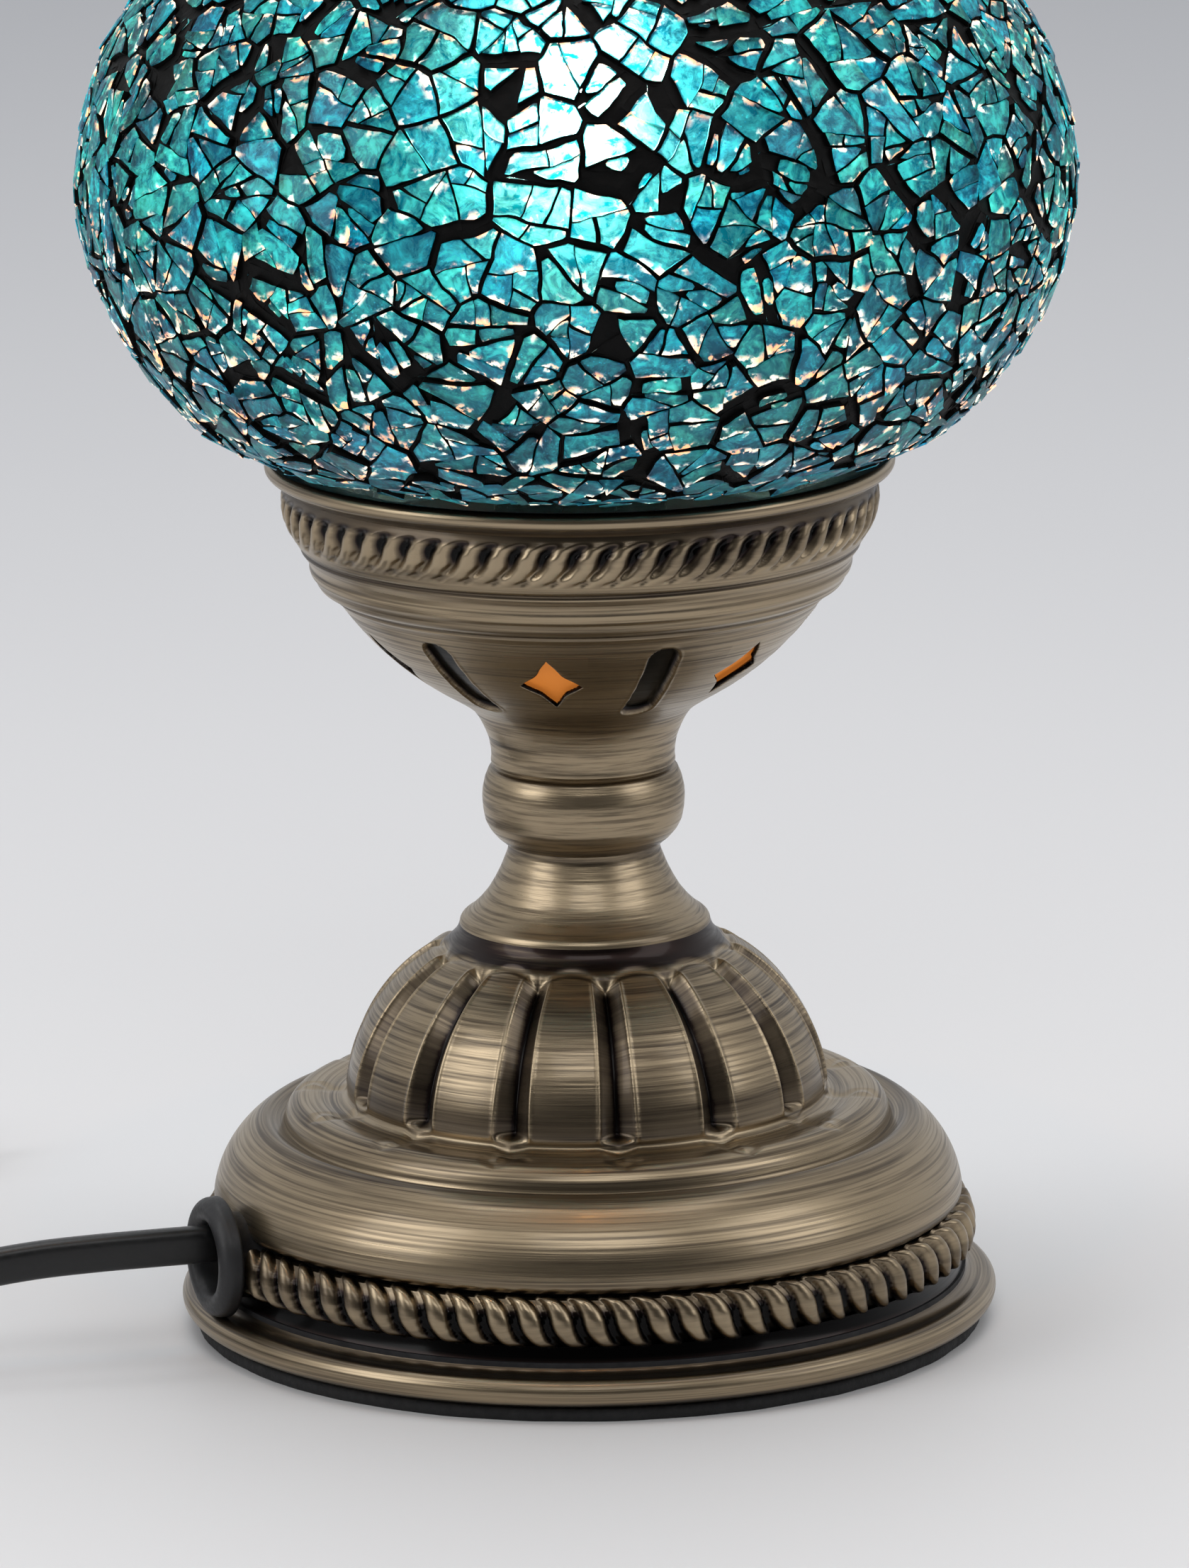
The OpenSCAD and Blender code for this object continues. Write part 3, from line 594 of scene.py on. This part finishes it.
def make_stand(brass, hole_wall_brass_shaded, brass_in_painted_shade):
    def part(name, profile, columns, shape=None, step=0.4, blur=1.0, brushing=1.0):
        return lathe(name, resample(profile, step, blur), columns, [brass], shape, None, brushing)

    # The darkened zones are painted shade, partly patina: the foot's cove under the rope and its lower
    # edge, the bead-torus crease and the torus's middle and lower edge, the stem's and knuckle's joints,
    # under the cup's rim, the cup's steps and the neck's grooves.
    bell = [part("foot_rim", FOOT, 256,
                 plain_dirt((10.6, 3.3, 1.3), (2.8, 0.7, 0.4)), 0.35, 0.8),
            part("foot_rope", LOWER_ROPE, 76 * 16, lower_rope_shape, 0.3, 0.6, 0.12),
            part("torus", TORUS, 256, plain_dirt((34.6, 1.5, 0.5), (24, 5, 0.15), (21, 1, 0.3)), 0.6),
            part("dome", STEM[-4:-1] + DOME + BEAD, 14 * 80, dome_shape, 0.3, 1.2),
            part("stem", STEM[:-3], 256, plain_dirt((79.5, 0.9, 0.5), (66.2, 0.6, 0.35)), 0.3)]
    place(bell[0], "stand", "antique_brass", "base_bell")
    for piece in bell[1:]:
        place(piece, "stand", "antique_brass")
    knuckle = part("knuckle", KNUCKLE, 256, plain_dirt((92.9, 0.35, 0.5), (81, 0.5, 0.5)), 0.25, 0.8)
    place(knuckle, "stand", "antique_brass", "knuckle_collar")
    bowl, stars = make_bowl(brass, hole_wall_brass_shaded)
    cup = [part("cup_rim", RIM, 256, plain_dirt((141.8, 0.6, 0.6)), 0.25, 0.8),
           part("cup_rope", UPPER_ROPE, 62 * 18, upper_rope_shape, 0.3, 0.8, 0.12),
           part("cup_steps", CUP_STEPS, 256,
                plain_dirt((130.5, 0.4, 0.8), (127.5, 0.3, 0.5), (125, 0.3, 0.5), (122.8, 0.5, 0.5)),
                0.2, 0.9),
           bowl, stars,
           part("cup_neck", CUP_NECK, 256, plain_dirt((102.5, 0.4, 0.35), (98.3, 0.5, 0.35)), 0.3)]
    place(cup[0], "stand", "antique_brass", "gallery_cup")
    for piece in cup[1:]:
        place(piece, "stand", "antique_brass")
    wall = BOWL_R - CUP_T
    lip = ([(48.5, 144.4), (48.1, 142.6), (46.9, 141), (47.2, 137.4), (46, 133.4), (44.4, 130.8),
            (42.7, 126.4), (38.8, 122.6)] + arc(BOWL_C, BOWL_Z, wall, -36.2, -38.2, 3))
    floor = (arc(BOWL_C, BOWL_Z, wall, -58.8, -61.5, 3)
             + [(17.6, 104.8), (14.3, 100.2), (13.4, 96), (5.2, 96)])
    # The cup's inside, lip and floor, takes the darker copy of the brass: painted shade.
    place(lathe("cup_lip", resample(lip, 0.8, 0.5), 192, [brass_in_painted_shade]), "stand", "antique_brass")
    place(lathe("cup_floor", resample(floor, 0.8, 0.5), 192, [brass_in_painted_shade]), "stand", "antique_brass")


# ---------------------------------------------------------------- mosaic
def clip(polygon, tags, nx, ny, limit, tag):
    """The part of a convex polygon where x*nx + y*ny <= limit. tags[i] belongs to edge i -> i+1."""
    points, kept = [], []
    n = len(polygon)
    for i in range(n):
        a, b = polygon[i], polygon[(i + 1) % n]
        da, db = a[0] * nx + a[1] * ny - limit, b[0] * nx + b[1] * ny - limit
        if da <= 0:
            points.append(a)
            if db <= 0:
                kept.append(tags[i])
            else:
                t = da / (da - db)
                kept.append(tags[i])
                points.append((a[0] + (b[0] - a[0]) * t, a[1] + (b[1] - a[1]) * t))
                kept.append(tag)
        elif db <= 0:
            t = da / (da - db)
            points.append((a[0] + (b[0] - a[0]) * t, a[1] + (b[1] - a[1]) * t))
            kept.append(tags[i])
    return points, kept


def area_centre(polygon):
    total = cx = cy = 0.0
    for (x0, y0), (x1, y1) in zip(polygon, polygon[1:] + polygon[:1]):
        w = x0 * y1 - x1 * y0
        total += w
        cx += (x0 + x1) * w
        cy += (y0 + y1) * w
    if abs(total) < 1e-9:
        return 0.0, polygon[0]
    return total / 2, (cx / (3 * total), cy / (3 * total))


def split(polygon, tags, rng, pieces):
    """Cracks a shard into smaller ones with hairlines, tagged by their half width."""
    area, centre = area_centre(polygon)
    if area < rng.uniform(13, 62) or len(pieces) > 24:
        pieces.append((polygon, tags))
        return
    xs = np.array(polygon) - centre
    values, vectors = np.linalg.eigh(xs.T @ xs)
    longest = math.atan2(vectors[1, 1], vectors[0, 1]) + rng.gauss(0, 0.45)
    if rng.random() < 0.3:
        longest += math.pi / 2
    nx, ny = math.cos(longest), math.sin(longest)
    limit = centre[0] * nx + centre[1] * ny + rng.uniform(-0.16, 0.16) * math.sqrt(area)
    hair = rng.choice((0.1, 0.13, 0.16, 0.2, 0.3))
    for sign in (1, -1):
        part, kept = clip(polygon, tags, sign * nx, sign * ny, sign * limit, hair)
        if len(part) >= 3:
            split(part, kept, rng, pieces)


def on_ray(polygon, centre, angle):
    """Distance from centre to the polygon's edge in a direction."""
    dx, dy = math.cos(angle), math.sin(angle)
    best = 1e9
    for (x0, y0), (x1, y1) in zip(polygon, polygon[1:] + polygon[:1]):
        ex, ey = x1 - x0, y1 - y0
        det = dx * ey - dy * ex
        if abs(det) < 1e-12:
            continue
        t = ((x0 - centre[0]) * ey - (y0 - centre[1]) * ex) / det
        u = ((x0 - centre[0]) * dy - (y0 - centre[1]) * dx) / det
        if t > 0 and -1e-6 <= u <= 1 + 1e-6:
            best = min(best, t)
    return best


def chips_of(profile, s, seed_s, seed_a, rng):
    """Every cell as (middle, directions, chip's reach, cell's reach, whether its chip is there)."""
    r, z = np.interp(seed_s, s, profile[:, 0]), np.interp(seed_s, s, profile[:, 1])
    at = np.stack([r * np.cos(seed_a), r * np.sin(seed_a), z], axis=1)
    slope = np.gradient(profile, axis=0)
    slope /= np.linalg.norm(slope, axis=1, keepdims=True)
    dr, dz = np.interp(seed_s, s, slope[:, 0]), np.interp(seed_s, s, slope[:, 1])
    down = np.stack([dr * np.cos(seed_a), dr * np.sin(seed_a), dz], axis=1)
    side = np.stack([-np.sin(seed_a), np.cos(seed_a), 0 * seed_a], axis=1)
    for i in range(len(at)):
        d = at - at[i]
        near = np.argsort((d ** 2).sum(1))[1:27]
        polygon, tags = [(-16, -16), (16, -16), (16, 16), (-16, 16)], [0.3] * 4
        for j in near:
            gap = random.Random(int(min(i, j)) * 9973 + int(max(i, j))).random()
            gap = 0.27 + 0.48 * gap ** 1.6 + (0.8 if gap > 0.88 else 0)
            polygon, tags = clip(polygon, tags, d[j] @ side[i], d[j] @ down[i], (d[j] @ d[j]) / 2, gap)
            if len(polygon) < 3:
                break
        if len(polygon) >= 3:
            polygon, tags = clip(polygon, tags, 0, 1, s[-1] - seed_s[i] - 0.2, 2.2)
        if len(polygon) < 3:
            continue
        pieces = []
        split(polygon, tags, rng, pieces)
        for cell, cell_tags in pieces:
            chip, chip_tags = cell, cell_tags
            for k, gap in enumerate(cell_tags):
                (x0, y0), (x1, y1) = cell[k], cell[(k + 1) % len(cell)]
                length = math.hypot(x1 - x0, y1 - y0)
                if length < 1e-6:
                    continue
                nx, ny = (y1 - y0) / length, -(x1 - x0) / length
                chip, chip_tags = clip(chip, chip_tags, nx, ny, x0 * nx + y0 * ny - gap, gap)
                if len(chip) < 3:
                    break
            if len(chip) < 3:
                continue
            area, centre = area_centre(chip)
            kept = area >= 1.5 and (area >= 16 or rng.random() >= 0.06)
            corners = [math.atan2(p[1] - centre[1], p[0] - centre[0]) for p in chip + cell]
            turns = sorted(set(round(a % TAU, 3) for a in corners)
                           | set(round(TAU * k / 14, 3) for k in range(14)))
            turns = [a for a, b in zip(turns, turns[1:] + [turns[0] + TAU]) if b - a > 0.03]
            inner = np.array([on_ray(chip, centre, a) for a in turns])
            inner = np.minimum(inner, np.median(inner) * rng.uniform(1.3, 1.9))
            outer = [on_ray(cell, centre, a) + 0.14 for a in turns]
            if max(outer) > 40:
                continue
            dirs = np.stack([np.cos(turns), np.sin(turns)], axis=1)
            origin = at[i] + side[i] * centre[0] + down[i] * centre[1]
            rays = dirs[:, 0:1] * side[i] + dirs[:, 1:2] * down[i]
            yield origin, rays, inner, np.array(outer), kept


def warp(points):
    """Bends straight cracks a little, the same way wherever two chips meet."""
    moved = points.copy()
    for k, p in enumerate(points):
        v = noise.noise_vector(Vector(p) * 0.16) * 1.0 + noise.noise_vector(Vector(p) * 0.5) * 0.28
        moved[k] += (v.x, v.y, v.z)
    return moved


def make_mosaic(glass, grout):
    """Chips of crackled glass with bevelled edges over black grout."""
    rng = random.Random(11)
    profile = resample(GLOBE_OUT, 0.5)
    s = np.concatenate([[0], np.cumsum(np.linalg.norm(np.diff(profile, axis=0), axis=1))])
    area = np.concatenate([[0], np.cumsum((profile[1:, 0] + profile[:-1, 0]) / 2 * np.diff(s))])
    draw = np.random.default_rng(4)
    seeds_s, seeds_a = [], []
    found = np.zeros((0, 3))
    for _ in range(680):
        t = np.interp(draw.random(7) * area[-1], area, s)
        a = draw.random(7) * TAU
        r = np.interp(t, s, profile[:, 0])
        p = np.stack([r * np.cos(a), r * np.sin(a), np.interp(t, s, profile[:, 1])], axis=1)
        k = 0
        if len(found):
            k = int(np.argmax(((p[:, None] - found[None]) ** 2).sum(2).min(1)))
        found = np.vstack([found, p[k]])
        seeds_s.append(t[k])
        seeds_a.append(a[k])
    chips = list(chips_of(profile, s, np.array(seeds_s), np.array(seeds_a), rng))
    loops, spans = [], []
    for origin, rays, inner, outer, kept in chips:
        n = len(rays)
        drop = np.clip(-rays[:, 2] * (1 if origin[2] < 205 else -1), 0, 1)
        bevel = np.minimum(inner * 0.3, 0.12 + rng.uniform(0.2, 0.8) * drop)
        loops += [origin[None], origin + rays * outer[:, None], origin + rays * inner[:, None],
                  origin + rays * (inner - bevel)[:, None]]
        spans.append((n, float(bevel.mean()), kept))
    flat = warp(np.vstack(loops))
    radius, height = np.hypot(flat[:, 0], flat[:, 1]), flat[:, 2]
    nearest = np.empty(len(flat), int)
    for k in range(0, len(flat), 20000):
        part = slice(k, k + 20000)
        d = ((radius[part, None] - profile[None, :, 0]) ** 2
             + (height[part, None] - profile[None, :, 1]) ** 2)
        nearest[part] = d.argmin(1)
    normals2 = outward(profile)[nearest]
    turn = np.arctan2(flat[:, 1], flat[:, 0])
    normal = np.stack([normals2[:, 0] * np.cos(turn), normals2[:, 0] * np.sin(turn),
                       normals2[:, 1]], axis=1)
    gap = (radius - profile[nearest, 0]) * normals2[:, 0] + (height - profile[nearest, 1]) * normals2[:, 1]
    skin = flat - normal * gap[:, None]
    chip_points, chip_faces, chip_slots, tone, shade, lit = [], [], [], [], [], []
    grout_points, grout_faces = [], []
    at = 0
    for n, bevel, kept in spans:
        n0 = normal[at]
        centre = skin[at]
        outer = slice(at + 1, at + 1 + n)
        edge_loop = slice(at + 1 + n, at + 1 + 2 * n)
        top_loop = slice(at + 1 + 2 * n, at + 1 + 3 * n)
        base = len(grout_points)
        ragged = np.array([noise.noise(Vector(p) * 0.9) for p in skin[outer]])[:, None]
        grout_points += list(skin[outer] - normal[outer] * (1.15 - 0.35 * ragged))
        grout_points += list(skin[edge_loop] - normal[edge_loop] * 1.35)
        grout_faces += [(base + k, base + n + k, base + n + (k + 1) % n, base + (k + 1) % n)
                        for k in range(n)]
        if not kept:
            grout_points.append(centre - n0 * 1.35)
            grout_faces += [(base + 2 * n, base + n + (k + 1) % n, base + n + k) for k in range(n)]
            at += 1 + 3 * n
            continue
        tilt = n0 + np.array([rng.gauss(0, 0.06) for _ in range(3)])
        tilt /= np.linalg.norm(tilt)
        lift = rng.uniform(-0.75, -0.15)
        plane = centre + n0 * lift
        top = skin[top_loop]
        top = top - tilt * ((top - plane) @ tilt)[:, None]
        mid = skin[edge_loop]
        mid = mid - tilt * ((mid - plane) @ tilt)[:, None] - n0 * bevel * 0.9
        low = skin[edge_loop] - normal[edge_loop] * 2.0
        base = len(chip_points)
        chip_points += list(low) + list(mid) + list(top) + [top.mean(0)]
        away = skin[edge_loop] - centre
        away /= np.linalg.norm(away, axis=1, keepdims=True)
        # Painted glint strength on the chip's edges: edges facing away from the bulb's height, and
        # scattered ones, are lit.
        glint_side = -away[:, 2] if centre[2] < 200 else away[:, 2]
        glint_side = np.clip(glint_side * min(1.0, 0.35 + abs(centre[2] - 200) / 45), -1, 1)
        stray_glint = 0.75 * (np.array([noise.noise(Vector(p) * 0.35) for p in skin[edge_loop]]) > 0.22)
        lit += list(np.tile(np.maximum(glint_side, stray_glint * 0.8), 3)) + [0.0]
        for ring in (0, 1):
            for k in range(n):
                m = (k + 1) % n
                chip_faces.append((base + ring * n + k, base + (ring + 1) * n + k,
                                   base + (ring + 1) * n + m, base + ring * n + m))
                chip_slots.append(0 if ring else 1)
        for k in range(n):
            chip_faces.append((base + 3 * n, base + 2 * n + (k + 1) % n, base + 2 * n + k))
            chip_slots.append(0)
        tone += [rng.random()] * (3 * n + 1)
        shade += [rng.random()] * (3 * n + 1)
        at += 1 + 3 * n
    chips_piece = new_object("mosaic_chips", np.array(chip_points) * MM, chip_faces, [glass, grout],
                             False, chip_slots, tone=tone, shade=shade, lit=lit)
    grout_piece = new_object("mosaic_grout", np.array(grout_points) * MM, grout_faces, [grout])
    place(chips_piece, "globe", "mosaic_glass", "globe_mosaic")
    place(grout_piece, "globe", "mosaic_glass")
    band = [(51.5, 145.6), (47, 144.4), (44.4, 144.0)]
    place(lathe("grout_band", resample(band, 0.5), 192, [grout]), "globe", "mosaic_glass")
    print("mosaic chips", len(spans))


def chip_material():
    """Teal glass lit from inside: rough, tinted transmission, with a painted streaky glow and painted warm
    glints in its emission.
    """
    s = Shader("mosaic_glass", Transmission_Weight=1.0, IOR=1.15, Coat_Weight=0.35,
               Coat_Roughness=0.05, Coat_IOR=1.5)
    tone, shade, lit = s.attribute("tone"), s.attribute("shade"), s.attribute("lit")
    own = s.math("MULTIPLY", tone, 40.0)
    swirl = s.noise(260, 6, 0.7, own, 1.5)
    fine = s.noise(1100, 4, 0.6, own)
    height = s.node("ShaderNodeSeparateXYZ", {"Vector": s.position()}).outputs[2]
    low = s.ramp(height, 0.150, 0.190, 1.0, 0.0)
    deep = s.mix(tone, colour(0, 122, 144), colour(0, 82, 128))
    pale = s.mix(tone, colour(70, 232, 206), colour(16, 184, 206))
    tint = s.mix(s.ramp(swirl, 0.42, 0.62), deep, pale)
    # Towards the bottom the tint turns bluer and the painted glow dims.
    tint = s.mix(s.math("MULTIPLY", low, 0.5), tint, colour(52, 106, 150))
    # Painted glow in place of the bulb's light through the glass, streaky and different from chip to chip,
    # with painted sparkles at small bubbles.
    glow = s.math("MULTIPLY", s.ramp(swirl, 0.40, 0.64, 0.32, 1.1), s.ramp(shade, 0, 1, 0.25, 1.1))
    glow = s.math("MULTIPLY", glow, s.ramp(fine, 0.35, 0.65, 0.55, 1.45))
    glow = s.math("MULTIPLY", glow, s.ramp(height, 0.150, 0.195, 0.62, 1.0))
    bubbles = s.node("ShaderNodeTexVoronoi", {"Scale": 1500.0, "Vector": s.position()}).outputs[0]
    spark = s.math("MULTIPLY", s.ramp(bubbles, 0.14, 0.26, 1.0, 0.0),
                   s.ramp(s.noise(160, 2), 0.48, 0.56))
    glow = s.math("ADD", glow, s.math("MULTIPLY", spark, 0.8))
    # Painted warm glints near the chip edges that the per-point glint strength marks.
    blob = s.ramp(s.noise(520, 3, 0.6), 0.47, 0.55)
    glint = s.math("MULTIPLY", blob, s.ramp(lit, 0.3, 0.58))
    warm = s.mix(s.ramp(s.noise(170, 2), 0.42, 0.58), colour(255, 172, 120), colour(255, 236, 212))
    s.put(s.surface, {"Base_Color": tint, "Emission_Color": s.mix(glint, tint, warm),
                      "Emission_Strength": s.math("ADD", glow, s.math("MULTIPLY", glint, 1.6)),
                      "Roughness": s.ramp(swirl, 0.3, 0.7, 0.4, 0.9)})
    waves = s.math("ADD", s.noise(260, 3), s.math("MULTIPLY", swirl, 0.5))
    s.bump(waves, 0.0008, 0.8)
    return s.material


def clear_glass(name, tint, glow=0.0, glow_tint=(255, 240, 220)):
    """Thin clear glass that lets the bulb's light straight through, with a skin of gloss."""
    s = Shader(name, Base_Color=tint, Roughness=0.05, Specular_IOR_Level=0.5)
    s.put(s.surface, {"Emission_Color": colour(*glow_tint), "Emission_Strength": glow})
    clear = s.node("ShaderNodeBsdfTransparent", {"Color": tint})
    amount = s.ramp(s.node("ShaderNodeLayerWeight", {"Blend": 0.25}).outputs["Facing"], 0.0, 1.0,
                    0.03, 0.35)
    amount = s.math("ADD", amount, s.ramp(s.noise(45, 2), 0.4, 0.8, 0.0, 0.03))
    blend = s.node("ShaderNodeMixShader", {0: amount, 1: clear.outputs[0], 2: s.surface.outputs[0]})
    s.tree.links.new(blend.outputs[0], s.tree.nodes["Material Output"].inputs["Surface"])
    return s.material


# An evenly glowing surface: painted light on a part that is no lamp.
def glowing(name, tone, strength):
    s = Shader(name)
    s.put(s.surface, {"Base_Color": colour(*tone), "Emission_Color": colour(*tone),
                      "Emission_Strength": s.ramp(s.noise(200, 2), 0.2, 0.8, strength * 0.9,
                                                  strength * 1.1)})
    return s.material


def filament_material():
    """Hot wire, brightest towards its top."""
    s = Shader("filament_wire")
    height = s.node("ShaderNodeSeparateXYZ", {"Vector": s.position()}).outputs[2]
    s.put(s.surface, {"Base_Color": colour(255, 244, 225), "Emission_Color": colour(255, 244, 225),
                      "Emission_Strength": s.ramp(height, 0.194, 0.204, 25.0, 620.0)})
    return s.material


# ---------------------------------------------------------------- other pieces
def turned_on_axis(name, profile, columns, material, origin, turn):
    """A turned piece whose axis lies level: profile is (distance from the axis, place along it)."""
    p = np.array(profile, float)
    points = []
    for r, x in p:
        for k in range(columns):
            a = TAU * k / columns
            points.append((x, r * math.cos(a), r * math.sin(a)))
    piece = new_object(name, np.array(points) * MM, grid_faces(len(p), columns), [material],
                       dirt=[0] * len(points))
    piece.matrix_world = (Matrix.Translation(Vector(origin) * MM)
                          @ Matrix.Rotation(turn, 4, "Z"))
    return piece


def make_grommet(rubber):
    lip = [(5.75, 56.1), (7.9, 56.1), (7.9, 58), (7.0, 58.4), (7.0, 64.0), (9.3, 64.1)]
    flare = arc(9.4, 64.7, 0.55, -80, 20, 5) + arc(7.6, 65.5, 2.3, 10, 90, 8)
    throat = [(6.9, 67.7), (6.3, 67.3), (5.9, 66.2), (5.75, 62)]
    piece = turned_on_axis("grommet_body", lip + flare + throat, 72, rubber, (0, 0, GROMMET_Z),
                           CORD_TURN)
    return place(piece, "stand", "black_rubber", "grommet")


def make_pad(foam):
    """The foam pad under the foot, its cut edge a little ragged."""
    rng = random.Random(3)
    columns = 360
    wave = [noise.noise(Vector((math.cos(TAU * k / columns) * 9, math.sin(TAU * k / columns) * 9, 0)))
            for k in range(columns)]
    rings = [(2.0, 0.0), (30, 0.0), (PAD_R - 0.3, 0.0), (PAD_R, 0.35), (PAD_R + 0.1, 1.2),
             (PAD_R, PAD_T - 0.1), (PAD_R - 1.5, PAD_T)]
    points = []
    for r, z in rings:
        for k in range(columns):
            a = TAU * k / columns
            edge = (0.28 * wave[k] + rng.uniform(-0.05, 0.05)) if r > 60 else 0
            points.append(((r + edge) * math.cos(a), (r + edge) * math.sin(a), z))
    faces = [f[::-1] for f in grid_faces(len(rings), columns)]
    faces.append(tuple(range(columns))[::-1])
    piece = new_object("foot_foam", np.array(points) * MM, faces, [foam])
    return place(piece, "stand", "foam_rubber", "foot_pad")


def finish_nodes(materials):
    """Every CAD node that is still shown takes its slot's material."""
    slots = {part["node"]: part["material_slot"] for part in frame["record"]["subparts"]}
    for name, node in NODES.items():
        if node.hide_render:
            continue
        node.data.materials.clear()
        node.data.materials.append(materials[slots[name]])


def make_stage():
    s = Shader("paper", Roughness=0.55, Specular_IOR_Level=0.25)
    away = s.node("ShaderNodeSeparateXYZ", {"Vector": s.position()}).outputs[1]
    paper = s.mix(s.noise(3, 2), colour(217, 217, 219), colour(220, 220, 221))
    # Painted shade: the floor darkens towards the back.
    s.put(s.surface, {"Base_Color": s.mix(s.ramp(away, 0.1, 1.5), paper, colour(186, 188, 193))})
    far, near, side = 6.0, -4.0, 6.0
    points = [(-side, near, 0), (side, near, 0), (side, far, 0), (-side, far, 0)]
    floor = new_object("floor", points, [(0, 1, 2, 3)], [s.material], False)


def area_light(name, at, target, size, power, tone=(1, 1, 1)):
    data = bpy.data.lights.new(name, "AREA")
    data.shape = "RECTANGLE"
    data.size, data.size_y = size
    data.energy = power
    data.color = tone
    light = bpy.data.objects.new(name, data)
    bpy.context.scene.collection.objects.link(light)
    light.location = at
    light.rotation_euler = (Vector(target) - Vector(at)).to_track_quat("-Z", "Y").to_euler()
    return light


def make_light():
    world = bpy.data.worlds.new("studio")
    bpy.context.scene.world = world
    world.use_nodes = True
    tree = world.node_tree
    back = tree.nodes["Background"]
    back.inputs["Color"].default_value = (0.84, 0.85, 0.87, 1)
    parts = tree.nodes.new("ShaderNodeSeparateXYZ")
    tree.links.new(tree.nodes.new("ShaderNodeTexCoord").outputs["Generated"], parts.inputs[0])
    ramp = tree.nodes.new("ShaderNodeMapRange")
    for key, value in (("From Min", -0.7), ("From Max", 0.4), ("To Min", 0.06), ("To Max", 0.8)):
        ramp.inputs[key].default_value = value
    tree.links.new(parts.outputs[1], ramp.inputs["Value"])
    tree.links.new(ramp.outputs[0], back.inputs["Strength"])
    area_light("left_box", (-1.5, -0.7, 1.0), (0, 0, 0.12), (1.0, 1.3), 12)
    area_light("right_box", (1.5, -0.6, 1.0), (0, 0, 0.12), (1.0, 1.3), 8)
    area_light("front_box", (0.1, -1.9, 1.9), (0, 0, 0.08), (1.6, 0.8), 11)
    area_light("top_box", (0, 0.3, 2.0), (0, 0, 0.1), (1.8, 1.6), 18)
    area_light("warm_glint", (0, -0.35, 1.1), (0, -0.05, 0.03), (0.05, 0.05), 0.35, (1, 0.45, 0.12))
    bpy.context.scene.view_settings.view_transform = "Standard"


# ---------------------------------------------------------------- build
make_camera()
cord_black = plastic("black_cord", (10, 10, 11), 0.38, 1500, 0.00002)
lead, lead_line, long, long_line = make_cords(cord_black)

brass = brass_material()
# Darker copies of the brass, as painted shade: one for the cup's inside, one for the star holes' cut
# walls.
brass_in_painted_shade = brass_material("inner_brass_painted_shade", (120, 104, 78), (34, 27, 22), 0.35)
hole_wall_brass_shaded = brass_material("hole_wall_brass_painted_shade", (70, 52, 38), (22, 16, 13), 0.4)
rubber = plastic("black_rubber", (20, 20, 22), 0.5, 1400, 0.00005)
foam = plastic("foam_rubber", (24, 24, 25), 0.85, 700, 0.0004)
make_stand(brass, hole_wall_brass_shaded, brass_in_painted_shade)
make_grommet(rubber)
make_pad(foam)
grout = plastic("grout", (4, 4, 4), 0.6, 500, 0.0003, Specular_IOR_Level=0.12)
make_mosaic(chip_material(), grout)

MATERIALS = {
    # The film behind the stars glows with painted light in place of the bulb's light through the holes.
    "amber_film": glowing("amber_film", (196, 116, 46), 0.55),
    "clear_glass": clear_glass("clear_glass", (0.9, 0.97, 0.97, 1)),
    "mosaic_glass": grout,
    "spring_steel": metal("spring_steel", (190, 192, 194), 0.28),
    "black_rubber": rubber,
    "antique_brass": brass,
    "cast_iron": metal("cast_iron", (70, 70, 72), 0.6),
    "zinc_steel": metal("zinc_steel", (196, 198, 202), 0.3),
    "foam_rubber": foam,
    "bright_brass": metal("bright_brass", (222, 186, 104), 0.25),
    "black_bakelite": plastic("black_bakelite", (22, 22, 22), 0.22),
    "porcelain_white": plastic("porcelain_white", (226, 222, 210), 0.25),
    "core_plastic": plastic("core_plastic", (40, 80, 180), 0.4),
    "solder": metal("solder", (170, 170, 172), 0.35),
    "black_glass": plastic("black_glass", (14, 14, 15), 0.12),
    "cap_metal": metal("cap_metal", (206, 202, 190), 0.28),
    "bulb_glass": clear_glass("bulb_glass", (1, 1, 1, 1), 0.5, (255, 246, 232)),
    "filament_wire": filament_material(),
    "white_nylon": plastic("white_nylon", (228, 226, 216), 0.4),
    "black_cord": cord_black,
    "tie_plastic": plastic("tie_plastic", (34, 34, 36), 0.8, 1200, 0.0003),
    "switch_plastic": plastic("switch_plastic", (26, 26, 28), 0.35),
    "rocker_plastic": plastic("rocker_plastic", (40, 40, 42), 0.3),
    "plug_plastic": plastic("plug_plastic", (26, 26, 28), 0.45),
    "pin_nickel": metal("pin_nickel", (205, 202, 192), 0.18),
}
finish_nodes(MATERIALS)

length_of(lead_line)
length_of(long_line)

make_stage()
make_light()
